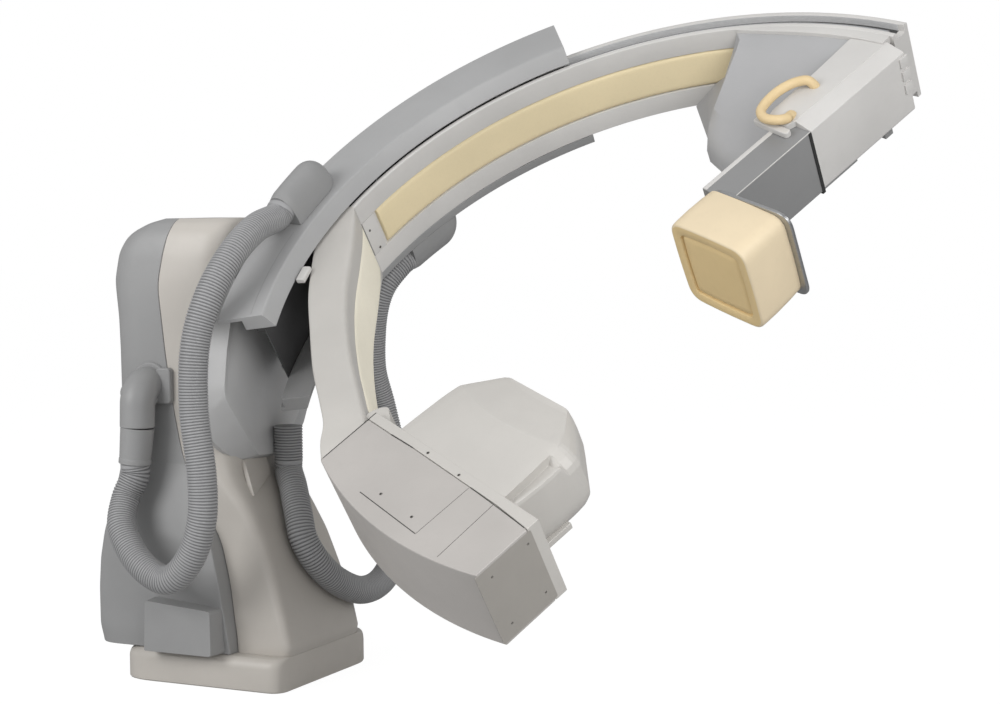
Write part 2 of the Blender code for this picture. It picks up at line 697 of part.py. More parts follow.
def make_tube_end():
    box = prism("tube_box", box_outline(ARM_END + GAP, BOX_SEAM), -ARC_HALF, ARC_HALF, "light", beam)
    pocket = (-0.150, 0.126, -1.035, -0.866)
    pocket_depth = 0.003
    cut(box, prism("panel_pocket", rounded(*pocket, [0.008] * 4, steps=3),
                   ARC_HALF - pocket_depth, ARC_HALF + 0.05, None, beam))
    panel = (pocket[0] + PANEL_GAP, pocket[1] - PANEL_GAP, pocket[2] + PANEL_GAP, pocket[3] - PANEL_GAP)
    prism("access_panel", rounded(*panel, [0.0075] * 4, steps=3),
          ARC_HALF - pocket_depth + GAP, ARC_HALF, "light", beam)
    prism("box_end_block", box_outline(BOX_SEAM + GAP, BOX_END), -ARC_HALF, ARC_HALF, "light", beam)

    # Plan outlines from here on, across the beam and along the ring's axis
    base_low = BOX_INNER + GAP
    base_high = BOX_INNER + BASE_THICK
    room = rounded(-0.200, 0.200, -CAVITY_HALF - 0.01, CAVITY_HALF + 0.01, [0.02] * 4, steps=2)
    base = prism("housing_base", rectangle(-0.290, BOX_END - 0.004, -ARC_HALF, ARC_HALF),
                 base_low, base_high, "light", across)
    cut(base, prism("base_room", room, base_low - 0.1, base_high + 0.1, None, across))
    rings = []
    stations = ((base_high + GAP, -0.262, 0.275, 1.0, 0.080), (-0.740, -0.250, 0.280, 1.0, 0.085),
                (HOUSING_RIDGE - 0.02, -0.236, 0.270, 1.0, 0.085), (HOUSING_RIDGE, -0.230, 0.262, 0.97, 0.080),
                (-0.520, -0.178, 0.190, 0.84, 0.075), (HOUSING_TOP, -0.140, 0.130, 0.74, 0.060))
    for height, left, right, share, corner in stations:
        half = ARC_HALF * share
        plan = rounded(left, right, -half, half, [0.020, corner, corner, 0.020])
        rings.append([(x, y, height) for x, y in plan])
    housing = loft("tube_housing", rings, "light", across)
    cut(housing, prism("housing_room", room, base_low - 0.1, CAVITY_ROOF, None, across))

    centre = base_low + TUBE_RADIUS
    tube_frame = frame("xray_tube_frame", Matrix.Translation((0, centre, 0)), beam)
    neck = TUBE_RADIUS * 0.55
    ends = CAVITY_HALF - 0.002
    insert = [(0, -ends), (neck, -ends), (neck, -ends + 0.03), (TUBE_RADIUS, -ends + 0.045),
              (TUBE_RADIUS, ends - 0.045), (neck, ends - 0.03), (neck, ends), (0, ends)]
    turned("xray_tube", insert, "steel", tube_frame, steps=24)
    collimator = rectangle(-COLLIMATOR_HALF, COLLIMATOR_HALF, -COLLIMATOR_HALF, COLLIMATOR_HALF)
    collimator = prism("collimator", collimator, centre + TUBE_RADIUS + GAP, CAVITY_ROOF - GAP, "iron", across)
    soften(collimator, 0.006)


def make_detector_end():
    # The fairing fills the corner between the arc and the carriage
    corner_angle = 100.35 - BEAM_ANGLE
    count = 9

    def arc_points(start):
        rows = []
        for i in range(count):
            x, y, _ = polar(ARC_INNER - GAP * 2, start + (corner_angle - start) * i / (count - 1))
            turn = math.radians(BEAM_ANGLE)
            rows.append((x * math.cos(turn) - y * math.sin(turn), x * math.sin(turn) + y * math.cos(turn)))
        return rows

    left = CARRIAGE_LEFT - GAP
    deep = arc_points(101.0) + [(left, 0.605), (-0.440, 0.628), (-0.530, 0.655), (-0.566, 0.700)]
    middle = arc_points(100.5) + [(left, 0.630), (-0.380, 0.665), (-0.500, 0.672), (-0.560, 0.712)]
    shallow = arc_points(95.0) + [(left, 0.960), (-0.340, 1.020), (-0.470, 0.985), (-0.585, 0.945)]
    rings = [[(x, y, depth) for x, y in outline] for depth, outline in
             ((-ARC_HALF, deep), (0.045, deep), (0.070, middle), (0.1095, shallow))]
    loft("fairing", rings, "grey", beam)
    lip = arc_points(95.0) + [(left, 0.830), (-0.222, 0.860), (-0.262, 1.060), (-0.340, 1.046), (-0.470, 1.008), (-0.585, 0.945)]
    prism("end_cover_near", lip, 0.1098, ARC_HALF, "light", beam)

    # The carriage cover hangs from the arc and is open below, and the slide box runs in it
    cover = prism("carriage_cover", rectangle(CARRIAGE_LEFT, CARRIAGE_RIGHT, -CARRIAGE_HALF, CARRIAGE_HALF),
                  CARRIAGE_LOW, CARRIAGE_TOP, "light", across)
    soften(cover, 0.012, segments=3)
    wall = CARRIAGE_WALL
    seat = rectangle(ARC_INNER - GAP, ARC_OUTER, -0.3, 0.3)
    cut(cover, swept("carriage_seat", seat, ARC_START - SEAT_CLEAR, ARC_START + 15, None, arc))
    room = rectangle(CARRIAGE_LEFT + wall, CARRIAGE_RIGHT - wall, -CARRIAGE_HALF + wall, CARRIAGE_HALF - wall)
    room_top = math.sqrt((ARC_INNER - GAP)**2 - CARRIAGE_LEFT**2) - wall
    cut(cover, prism("carriage_room", room, CARRIAGE_LOW - 0.1, room_top, None, across))

    step = wall + SLIDE_CLEAR
    slide_left = CARRIAGE_LEFT + step
    slide_right = CARRIAGE_RIGHT - step
    slide_half = CARRIAGE_HALF - step
    back = DETECTOR_FRONT + DETECTOR_DEPTH
    slide_low = back + GAP + BACKING_THICK + GAP
    slide = prism("slide_box", rectangle(slide_left, slide_right, -slide_half, slide_half),
                  slide_low, SLIDE_TOP, "slide", detector_across)
    thin = 0.006
    hollow = rectangle(slide_left + thin, slide_right - thin, -slide_half + thin, slide_half - thin)
    cut(slide, prism("slide_room", hollow, slide_low + thin, SLIDE_TOP + 0.1, None, detector_across))
    middle_x = (CARRIAGE_LEFT + CARRIAGE_RIGHT) / 2
    screw_low = slide_low + thin + SLIDE_TRAVEL + 0.010
    screw_high = room_top - GAP
    screw = [(0, screw_low), (SCREW_RADIUS, screw_low), (SCREW_RADIUS, screw_high - 0.02),
             (SCREW_RADIUS * 2, screw_high - 0.02), (SCREW_RADIUS * 2, screw_high), (0, screw_high)]
    screw_frame = frame("lift_screw_frame", Matrix.Translation((middle_x, 0, 0)), across)
    turned("lift_screw", screw, "steel", screw_frame, steps=16)

    corners = [DETECTOR_CORNER] * 4
    outer = rounded(-DETECTOR_HALF, DETECTOR_HALF, -DETECTOR_HALF, DETECTOR_HALF, corners)
    housing = prism("detector_housing", outer, DETECTOR_FRONT, back, "beige", detector_across)
    window_low = DETECTOR_FRONT + WINDOW_RECESS
    window_high = window_low + 0.004
    opening = rounded(-WINDOW_HALF, WINDOW_HALF, -WINDOW_HALF, WINDOW_HALF, [0.012] * 4, steps=3)
    cut(housing, prism("window_pocket", opening, DETECTOR_FRONT - 0.05, window_high + GAP, None, detector_across))
    panel_half = WINDOW_HALF - 0.006
    chamber = rectangle(-panel_half - GAP, panel_half + GAP, -panel_half - GAP, panel_half + GAP)
    cut(housing, prism("panel_chamber", chamber, DETECTOR_FRONT, back - DETECTOR_WALL, None, detector_across))
    inset = WINDOW_HALF - GAP
    prism("detector_window", rounded(-inset, inset, -inset, inset, [0.0117] * 4, steps=3),
          window_low, window_high, "beige", detector_across)
    prism("flat_panel", rectangle(-panel_half, panel_half, -panel_half, panel_half),
          window_high + GAP, back - DETECTOR_WALL - GAP, "steel", detector_across)
    rim = DETECTOR_HALF + 0.002
    prism("detector_backing", rounded(-rim, rim, -rim, rim, corners), back + GAP, back + GAP + BACKING_THICK,
          "steel", detector_across)

    # Loop handle over the carriage's near face, held by its bracket
    face = CARRIAGE_HALF + GAP
    lift = 0.034
    loop = [(-0.188, 0.846, face), (-0.188, 0.846, face + 0.018), (-0.202, 0.828, face + lift),
            (-0.236, 0.775, face + lift), (-0.246, 0.720, face + lift), (-0.226, 0.676, face + lift),
            (-0.186, 0.664, face + lift), (-0.160, 0.690, face + lift),
            (-0.150, 0.718, face + 0.018), (-0.150, 0.718, face)]
    tube("grip_handle", smooth(loop, 0.018), 0.010, "beige", beam)
    bracket = rectangle(-0.200, -0.100, CARRIAGE_LOW - 0.036, CARRIAGE_LOW - GAP)
    bracket = prism("handle_bracket", bracket, CARRIAGE_HALF - 0.008, face + 0.012, "steel", beam)
    soften(bracket, 0.003)


# Hoses
MAIN_ROUTE = [
    (-0.240, -0.298, 0.555), (-0.215, -0.352, 0.470), (-0.120, -0.398, 0.382),
    (-0.009, -0.420, 0.343), (0.073, -0.424, 0.408), (0.119, -0.424, 0.526), (0.120, -0.422, 0.666),
    (0.095, -0.420, 0.852), (0.097, -0.410, 1.038), (0.121, -0.370, 1.179), (0.146, -0.286, 1.296),
    (0.155, -0.170, 1.372),
]
SECOND_ROUTE = [
    (0.165, 0.010, 0.575), (0.213, -0.040, 0.500), (0.242, -0.060, 0.430), (0.271, -0.030, 0.355),
    (0.294, 0.050, 0.285), (0.312, 0.170, 0.238), (0.310, 0.310, 0.250), (0.292, 0.440, 0.330),
    (0.260, 0.520, 0.460), (0.222, 0.548, 0.620), (0.188, 0.538, 0.780), (0.175, 0.502, 0.900),
    (0.190, 0.476, 1.030), (0.212, 0.464, 1.120), (0.238, 0.476, 1.188),
]


def hose_end(spec, sign, past):
    """A point on the hose's line where it leaves a fitting."""
    point = Vector(polar(spec["radius"], spec["end"], sign * (SLEEVE_HALF + GAP + FITTING_LIFT)))
    angle = math.radians(spec["end"])
    point += past * Vector((-math.sin(angle), math.cos(angle), 0))
    world = Matrix.Translation((ISO_X, 0, AXIS_HEIGHT)) @ ring_turn @ point
    return tuple(world)


def make_hoses():
    exit_y = -STAND_HALF - GAP - 0.010 - ELBOW_BEND
    exit_z = CUFF_TOP - CUFF_LENGTH - GAP
    main = [(ELBOW_X, exit_y, exit_z), (ELBOW_X, exit_y, exit_z - HOSE_STRAIGHT)] + MAIN_ROUTE
    main += [hose_end(NEAR_FITTING, 1, HOSE_STRAIGHT), hose_end(NEAR_FITTING, 1, GAP)]
    tube("main_hose", smooth(main, 0.040), HOSE_RADIUS, "hose")
    x, y, z = SPIGOT
    second = [(x, y, z - GAP), (x, y, z - GAP - HOSE_STRAIGHT)] + SECOND_ROUTE
    second += [hose_end(FAR_FITTING, -1, HOSE_STRAIGHT), hose_end(FAR_FITTING, -1, GAP)]
    tube("second_hose", smooth(second, 0.040), HOSE_RADIUS, "hose")


make_stand()
hub_hole_cutter = make_stand_covers()
make_pod(hub_hole_cutter)
make_elbow()
make_sleeve()
make_rollers()
make_fitting("hose_fitting_near", NEAR_FITTING, 1)
make_fitting("hose_fitting_far", FAR_FITTING, -1)
make_arc()
make_lower_arm()
make_tube_end()
make_detector_end()
make_hoses()
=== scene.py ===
import math
import bpy
import bmesh
import numpy as np
from mathutils import Matrix, Vector


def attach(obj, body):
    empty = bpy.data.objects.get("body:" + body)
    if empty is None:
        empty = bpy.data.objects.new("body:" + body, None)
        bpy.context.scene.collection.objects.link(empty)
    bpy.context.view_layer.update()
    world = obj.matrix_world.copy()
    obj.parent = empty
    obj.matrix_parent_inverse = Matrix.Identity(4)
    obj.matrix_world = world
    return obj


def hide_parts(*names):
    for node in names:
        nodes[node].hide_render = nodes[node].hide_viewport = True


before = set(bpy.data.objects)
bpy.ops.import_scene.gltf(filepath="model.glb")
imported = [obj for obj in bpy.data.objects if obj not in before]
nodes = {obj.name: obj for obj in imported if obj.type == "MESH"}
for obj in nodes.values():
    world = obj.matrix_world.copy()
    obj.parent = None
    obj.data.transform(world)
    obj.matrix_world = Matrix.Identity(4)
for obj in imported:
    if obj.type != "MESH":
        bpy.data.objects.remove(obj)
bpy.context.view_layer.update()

# ---- where the axes lie, in metres and in the pose of the photograph
iso = np.array([1.429, 0.0, 1.135])
ringTilt = math.radians(49.8)
beamTurn = math.radians(27.8)
alongX = np.array([1.0, 0.0, 0.0])
ringUp = np.array([0.0, math.sin(ringTilt), math.cos(ringTilt)])
ringFace = np.array([0.0, -math.cos(ringTilt), math.sin(ringTilt)])
beamUp = math.cos(beamTurn) * ringUp + math.sin(beamTurn) * alongX
beamAcross = math.cos(beamTurn) * alongX - math.sin(beamTurn) * ringUp


def ringSpot(radius, degrees, depth):
    # isocentre + r (cos a X + sin a Up) + depth Face, on whole arrays
    radius, degrees, depth = np.broadcast_arrays(radius, np.radians(degrees), depth)
    return (iso + (radius * np.cos(degrees))[..., None] * alongX + (radius * np.sin(degrees))[..., None] * ringUp
            + depth[..., None] * ringFace)


def beamSpot(across, along, depth):
    # isocentre + across T + along B + depth Face
    across, along, depth = np.broadcast_arrays(across, along, depth)
    return iso + across[..., None] * beamAcross + along[..., None] * beamUp + depth[..., None] * ringFace


def beamCross(across, depth, along):
    # the same place, for outlines drawn across the beam
    return beamSpot(across, along, depth)


def worldSpot(x, y, z):
    x, y, z = np.broadcast_arrays(x, y, z)
    return np.stack([x, y, z], axis=-1)


def atHeights(outlines, z):
    # flat outlines, each lifted to its height
    return np.stack([worldSpot(outline[:, 0], outline[:, 1], height) for outline, height in zip(outlines, z)])


# ---- outlines and curves
def roundCorners(points, radii, steps=5):
    # each corner becomes the parabola (1-t)^2 a + 2t(1-t) corner + t^2 b between two points on its edges
    points = np.asarray(points, float)
    before = np.roll(points, 1, axis=0) - points
    after = np.roll(points, -1, axis=0) - points
    lengthBefore = np.linalg.norm(before, axis=1, keepdims=True)
    lengthAfter = np.linalg.norm(after, axis=1, keepdims=True)
    reach = np.minimum(np.broadcast_to(radii, len(points))[:, None], 0.49 * np.minimum(lengthBefore, lengthAfter))
    a = points + before / lengthBefore * reach
    b = points + after / lengthAfter * reach
    t = np.linspace(0, 1, steps + 1)[None, :, None]
    curve = (1 - t) ** 2 * a[:, None] + 2 * t * (1 - t) * points[:, None] + t ** 2 * b[:, None]
    return curve.reshape(-1, points.shape[1])


def rectangle(left, right, low, high):
    return np.array([(left, low), (right, low), (right, high), (left, high)])


def smoothLine(knots, spacing):
    # Catmull-Rom through the knots, read at even steps of about the spacing along each stretch
    knots = np.asarray(knots, float)
    padded = np.vstack([2 * knots[0] - knots[1], knots, 2 * knots[-1] - knots[-2]])
    stretch = np.linalg.norm(np.diff(knots, axis=0), axis=1)
    counts = np.maximum(1, np.round(stretch / spacing)).astype(int)
    which = np.repeat(np.arange(len(counts)), counts)
    step = np.arange(counts.sum()) - np.repeat(np.cumsum(counts) - counts, counts)
    t = ((step + 1) / counts[which])[:, None]
    a, b, c, d = (padded[which + i] for i in range(4))
    line = 0.5 * (2 * b + (c - a) * t + (2 * a - 5 * b + 4 * c - d) * t ** 2 + (3 * b - a - 3 * c + d) * t ** 3)
    return np.vstack([knots[:1], line])


def evenLine(knots, spacing):
    # the same curve, resampled at equal distances
    line = smoothLine(knots, spacing / 3)
    along = np.concatenate([[0], np.cumsum(np.linalg.norm(np.diff(line, axis=0), axis=1))])
    at = np.linspace(0, along[-1], max(2, int(along[-1] / spacing)))
    return np.stack([np.interp(at, along, line[:, k]) for k in range(line.shape[1])], axis=1), at


def softly(at, knots, values, spread):
    # straight lines between the knots, averaged over a window of +-spread
    offsets = np.linspace(-1, 1, 15) * spread
    weights = np.cos(offsets / spread * math.pi / 2) + 0.05
    read = np.interp(np.asarray(at, float)[..., None] + offsets, knots, values)
    return (read * weights).sum(axis=-1) / weights.sum()


# ---- grids into meshes
def finishMesh(name, vertices, faces, paint, body, sharp=32, bevel=None, slot=None, replaces=(), shade=None):
    mesh = bpy.data.meshes.new(name)
    mesh.from_pydata(np.asarray(vertices).reshape(-1, 3).tolist(), [], faces)
    if shade is not None:
        mesh.attributes.new("shade", "FLOAT", "POINT").data.foreach_set("value", np.asarray(shade, np.float32))
    work = bmesh.new()
    work.from_mesh(mesh)
    bmesh.ops.remove_doubles(work, verts=work.verts, dist=1e-6)
    bmesh.ops.recalc_face_normals(work, faces=work.faces)
    work.to_mesh(mesh)
    work.free()
    mesh.materials.append(paints[paint])
    mesh.shade_smooth()
    mesh.set_sharp_from_angle(angle=math.radians(sharp))
    piece = bpy.data.objects.new(name, mesh)
    bpy.context.scene.collection.objects.link(piece)
    if bevel:
        edge = piece.modifiers.new("edges", "BEVEL")
        edge.width, edge.segments = bevel
        edge.limit_method = "ANGLE"
        edge.angle_limit = math.radians(38)
        edge.harden_normals = True
        edge.use_clamp_overlap = True
    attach(piece, body)
    if replaces:
        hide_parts(*replaces)
    return piece


def gridMesh(name, points, paint, body, closed=False, **how):
    # points[u, v]: rings that go round in v; flat caps at both ends unless u is closed too
    rows, columns = points.shape[:2]
    index = np.arange(rows * columns).reshape(rows, columns)
    low = index if closed else index[:-1]
    high = np.roll(index, -1, axis=0) if closed else index[1:]
    quads = np.stack([low, np.roll(low, -1, axis=1), np.roll(high, -1, axis=1), high], axis=-1).reshape(-1, 4)
    faces = quads.tolist()
    if not closed:
        faces += [index[0].tolist()[::-1], index[-1].tolist()]
    return finishMesh(name, points, faces, paint, body, **how)


def sweepRing(name, section, ends, paint, body, **how):
    # a section of (radius, depth) points carried round the ring's axis, in steps of about 0.75 degrees
    angles = np.linspace(*ends, max(2, int(abs(ends[1] - ends[0]) / 0.75) + 1))
    section = np.asarray(section)
    points = ringSpot(section[None, :, 0], angles[:, None], section[None, :, 1])
    return gridMesh(name, points, paint, body, **how)


def slab(name, outline, low, high, spot, paint, body, **how):
    # an outline extruded between two depths; spot places (x, y, depth) in the world
    outline = np.asarray(outline)
    points = spot(outline[None, :, 0], outline[None, :, 1], np.array([low, high])[:, None])
    return gridMesh(name, points, paint, body, **how)


def facePlate(name, outline, low, high, paint, **how):
    # an outline drawn across and along the beam, between two depths
    return slab(name, outline, low, high, beamSpot, paint, "arc", **how)


def beamBar(name, section, low, high, paint, body, **how):
    # a section across the beam, drawn out along it
    return slab(name, section, low, high, beamCross, paint, body, **how)


def tubeMesh(name, line, radius, reference, paint, body, around=28, **how):
    # rings of the given radius about each point of the line; the section's axes are T x ref and T x (T x ref)
    tangent = np.gradient(line, axis=0)
    tangent /= np.linalg.norm(tangent, axis=1, keepdims=True)
    first = np.cross(tangent, reference)
    first /= np.linalg.norm(first, axis=1, keepdims=True)
    second = np.cross(tangent, first)
    turn = np.linspace(0, 2 * math.pi, around, endpoint=False)
    radius = np.broadcast_to(radius, len(line))
    points = (line[:, None] + radius[:, None, None] * (np.cos(turn)[None, :, None] * first[:, None]
              + np.sin(turn)[None, :, None] * second[:, None]))
    return gridMesh(name, points, paint, body, **how)


def turnedMesh(name, profile, centre, axis, paint, body, around=48, **how):
    # a profile of (radius, height) points turned about an axis through the centre
    profile = np.asarray(profile, float)
    axis = np.asarray(axis, float) / np.linalg.norm(axis)
    side = np.cross(axis, [0.3, 0.5, 0.81])
    side /= np.linalg.norm(side)
    other = np.cross(axis, side)
    turn = np.linspace(0, 2 * math.pi, around, endpoint=False)
    ring = np.cos(turn)[:, None] * side + np.sin(turn)[:, None] * other
    points = (np.asarray(centre) + profile[:, 0, None, None] * ring[None] + profile[:, 1, None, None] * axis)
    return gridMesh(name, points, paint, body, **how)


def screwHead(name, spot, outward, radius, body):
    # a low domed head with a round socket, turned about the face's outward direction
    profile = np.array([(0.0, -0.8), (1.0, -0.8), (1.0, 0.05), (0.85, 0.22), (0.50, 0.30), (0.45, 0.05), (0.0, 0.05)])
    turnedMesh(name, profile * [radius, radius], spot, outward, "screw", body, around=20)


# ---- materials
class Value:
    # wraps a socket, so that maths on it adds Math nodes
    def __init__(self, surface, socket):
        self.surface = surface
        self.socket = socket

    def maths(self, operation, first, second):
        return self.surface.node("ShaderNodeMath", {"operation": operation}, {0: first, 1: second})

    def __radd__(self, other):
        return self.maths("ADD", other, self)

    def __mul__(self, other):
        return self.maths("MULTIPLY", self, other)


class Surface:
    # one material's nodes; node() takes a type, its settings and the values or links of its sockets
    def __init__(self, name):
        self.material = bpy.data.materials.new(name)
        self.material.use_nodes = True
        self.tree = self.material.node_tree
        self.shader = self.tree.nodes["Principled BSDF"]
        self.place = self.node("ShaderNodeTexCoord", out="Object")

    def node(self, kind, settings=None, sockets=None, out=0):
        made = self.tree.nodes.new(kind)
        for key, value in (settings or {}).items():
            if key == "stops":
                for stop, (spot, shade) in zip(made.color_ramp.elements, value):
                    stop.position = spot
                    stop.color = (shade, shade, shade, 1)
            else:
                setattr(made, key, value)
        for key, value in (sockets or {}).items():
            if isinstance(value, Value):
                self.tree.links.new(value.socket, made.inputs[key])
            else:
                made.inputs[key].default_value = value
        return Value(self, made.outputs[out])

    def noise(self, scale, detail=2.0, rough=0.5, place=None):
        return self.node("ShaderNodeTexNoise", None,
                         {"Vector": place or self.place, "Scale": scale, "Detail": detail, "Roughness": rough})

    def mix(self, factor, first, second):
        return self.node("ShaderNodeMix", {"data_type": "RGBA"}, {0: factor, 6: first, 7: second}, out=2)

    def ramp(self, value, low, high, lowShade=0.0, highShade=1.0):
        return self.node("ShaderNodeValToRGB", {"stops": ((low, lowShade), (high, highShade))}, {0: value})

    def feed(self, socket, value):
        self.tree.links.new(value.socket, self.shader.inputs[socket])

    def bump(self, height, strength, distance):
        self.feed("Normal", self.node("ShaderNodeBump", None,
                                      {"Strength": strength, "Distance": distance, "Height": height}))


def linear(shade):
    # sRGB 0-255 to linear 0-1
    shade = np.asarray(shade, float) / 255
    return np.where(shade <= 0.04045, shade / 12.92, ((shade + 0.055) / 1.055) ** 2.4)


def shellPaint(name, shade, rough=0.42, grain=1500, depth=0.05, groove=None):
    # sprayed enamel or moulded shell: orange-peel bump, slow mottling, uneven sheen and a little handling dust
    surface = Surface(name)
    base = linear(shade)
    slow = surface.noise(2.6, 3.0, 0.55)
    fine = surface.noise(38, 4.0, 0.6)
    dark = (*(base * 0.944), 1)
    light = (*np.minimum(1, base * 1.035), 1)
    colour = surface.mix(surface.ramp(slow, 0.35, 0.65), dark, light)
    colour = surface.mix(surface.ramp(fine, 0.52, 0.78, 0.0, 0.22), colour, (*(base * 0.90), 1))
    # painted shade: the grooves take the darker groove colour, by the mesh's shade attribute
    if groove is not None:
        deep = surface.node("ShaderNodeAttribute", {"attribute_name": "shade"}, None, out=2)
        colour = surface.mix(surface.ramp(deep, 0.02, 0.75), colour, (*linear(groove), 1))
    surface.feed("Base Color", colour)
    surface.feed("Roughness", (rough - 0.05) + fine * 0.10)
    surface.bump(surface.noise(grain, 1.0, 0.4), depth, 0.0004)
    surface.shader.inputs["Specular IOR Level"].default_value = 0.4
    return surface.material


def metalPaint(name, shade, rough=0.3, stretch=(900, 60, 60), depth=0.08, metallic=1.0):
    # drawn or brushed metal: noise stretched along one direction
    surface = Surface(name)
    base = linear(shade)
    lines = surface.node("ShaderNodeMapping", None, {"Vector": surface.place, "Scale": stretch})
    streak = surface.noise(1.0, 4.0, 0.65, lines)
    slow = surface.noise(4.0, 2.0)
    colour = surface.mix(surface.ramp(streak, 0.3, 0.7), (*(base * 0.82), 1), (*np.minimum(1, base * 1.1), 1))
    surface.feed("Base Color", surface.mix(surface.ramp(slow, 0.35, 0.7, 0.0, 0.4), colour, (*(base * 0.9), 1)))
    surface.feed("Roughness", (rough - 0.07) + streak * 0.14)
    surface.bump(streak, depth, 0.0003)
    surface.shader.inputs["Metallic"].default_value = metallic
    return surface.material


def softPaint(name, shade, rough=0.75):
    # matt foam-backed vinyl: pebbled grain and a faint worn sheen
    surface = Surface(name)
    base = linear(shade)
    grain = surface.node("ShaderNodeTexVoronoi", {"feature": "DISTANCE_TO_EDGE"},
                         {"Vector": surface.place, "Scale": 650.0})
    slow = surface.noise(3.2, 3.0)
    fine = surface.noise(120, 3.0)
    colour = surface.mix(surface.ramp(slow, 0.3, 0.7), (*(base * 0.93), 1), (*np.minimum(1, base * 1.03), 1))
    surface.feed("Base Color", surface.mix(surface.ramp(fine, 0.5, 0.8, 0.0, 0.25), colour, (*(base * 0.86), 1)))
    surface.feed("Roughness", (rough - 0.06) + fine * 0.12)
    surface.bump(grain, 0.22, 0.0005)
    return surface.material


paints = {
    "cream": shellPaint("creamEnamel", (192, 187, 180)),
    "grey": shellPaint("greyEnamel", (150, 150, 150)),
    # painted light: a lighter copy of the grey enamel for the pod, standing for the light on its dish
    "pod": shellPaint("podEnamelPaintedLight", (190, 190, 190)),
    "sleeve": shellPaint("sleeveEnamel", (168, 168, 168)),
    "light": shellPaint("arcEnamel", (205, 203, 200)),
    "tube": shellPaint("tubeHousingEnamel", (192, 189, 184)),
    # painted shade: a darker copy of the housing enamel for the tube box, to darken its under and end faces
    "box": shellPaint("tubeBoxShadedEnamel", (179, 175, 171)),
    "fairing": shellPaint("fairingShell", (174, 174, 175)),
    "beige": shellPaint("detectorShell", (224, 207, 176), rough=0.5, grain=900),
    "beigeDark": shellPaint("detectorWindow", (222, 197, 147), rough=0.55, grain=700, depth=0.12),
    "grip": shellPaint("gripShell", (222, 198, 154), rough=0.5, grain=900),
    # painted shade: near-black for the shadow in the gap at the carriage's mouth
    "band": shellPaint("mouthGapShade", (46, 46, 46), rough=0.5),
    "slide": shellPaint("slideEnamel", (138, 138, 138), rough=0.36),
    # painted shade: dark grey for the shadow on the groove's floor
    "dark": shellPaint("grooveFloorShade", (62, 62, 62), rough=0.5),
    "seam": shellPaint("seamShadow", (70, 69, 67), rough=0.7),
    # painted shade: dark grey for the shaded inside of the sleeve
    "wallShade": shellPaint("sleeveInsideShade", (86, 86, 87), rough=0.6),
    # painted shade: the groove colour darkens the hose's grooves between the ribs
    "hose": shellPaint("conduitPlasticGrooveShade", (160, 160, 161), rough=0.46, grain=2600, groove=(108, 108, 109)),
    "pad": softPaint("panelVinyl", (232, 216, 178)),
    # painted light: a paler copy of the panel vinyl for the lower arm's pad, standing for the strong light on it
    "padLit": softPaint("armPanelVinylLit", (246, 240, 222)),
    "track": metalPaint("railTrack", (236, 236, 236), rough=0.42, stretch=(60, 60, 900), metallic=0.25),
    # painted shade: a darker grey for the tube box's end plate, whose end face lies in shade
    "endShade": shellPaint("endCapShadedEnamel", (156, 152, 146)),
    "steel": metalPaint("railSteel", (196, 196, 197), rough=0.24),
    "plate": metalPaint("backingPlate", (178, 179, 180), rough=0.34, stretch=(50, 50, 700)),
    "iron": metalPaint("castIron", (92, 93, 94), rough=0.55, stretch=(160, 160, 160), metallic=0.6),
    "screw": metalPaint("screwSteel", (120, 118, 114), rough=0.35, stretch=(300, 300, 300)),
}
print("materials", len(paints))


# ---- camera at the photograph's angle, then the hoses
def placeCamera():
    turn, rise, roll = np.radians([25.9332, 4.1062, -0.4034])
    back = Vector((math.sin(turn) * math.cos(rise), -math.cos(turn) * math.cos(rise), math.sin(rise)))
    level = Vector((math.cos(turn), math.sin(turn), 0))
    up = back.cross(level)
    right = level * math.cos(roll) + up * math.sin(roll)
    upright = up * math.cos(roll) - level * math.sin(roll)
    data = bpy.data.cameras.new("photoCamera")
    data.lens = 77.23
    data.sensor_width = 36
    camera = bpy.data.objects.new("photoCamera", data)
    bpy.context.scene.collection.objects.link(camera)
    placed = Matrix((right, upright, back)).transposed().to_4x4()
    placed.translation = (3.609, -5.6093, 1.4574)
    camera.matrix_world = placed
    bpy.context.scene.camera = camera


placeCamera()

conduit = {"radius": 0.044, "groove": 0.0040, "pitch": 0.0088, "straight": 0.036, "perRib": 6,
           "around": 26, "fade": 0.012}
fittingLift = 0.055
sleeveHalf = 0.194
gap = 0.0003


def hoseEnd(radius, degrees, side, past):
    # a point on the tangent at a hose fitting's lower end
    spot = ringSpot(radius, degrees, side * (sleeveHalf + gap + fittingLift))
    a = math.radians(degrees)
    return spot + past * (-math.sin(a) * alongX + math.cos(a) * ringUp)


def ribShare(at):
    # half-round ribs with narrow grooves: (1 - |sin(pi s / pitch)|)^1.3
    return (1 - np.abs(np.sin(math.pi * at / conduit["pitch"]))) ** 1.3


def corrugated(name, knots, reference, node):
    # a tube of radius R - depth rib(s), whose ribs fade out over both ends
    line, at = evenLine(knots, conduit["pitch"] / conduit["perRib"])
    rib = ribShare(at) * np.clip(np.minimum(at, at[-1] - at) / conduit["fade"], 0, 1)
    # the rib share, stored as the shade attribute, paints shade into the grooves
    piece = tubeMesh(name, line, conduit["radius"] - conduit["groove"] * rib, reference, "hose", "stand",
                     around=conduit["around"], sharp=180, shade=np.repeat(rib, conduit["around"]),
                     replaces=(node,))
    coarse = smoothLine(knots, 0.040)
    [tuple(p) for p in smoothLine(knots, 0.010)]
    print(name, "length", round(float(at[-1]), 3))


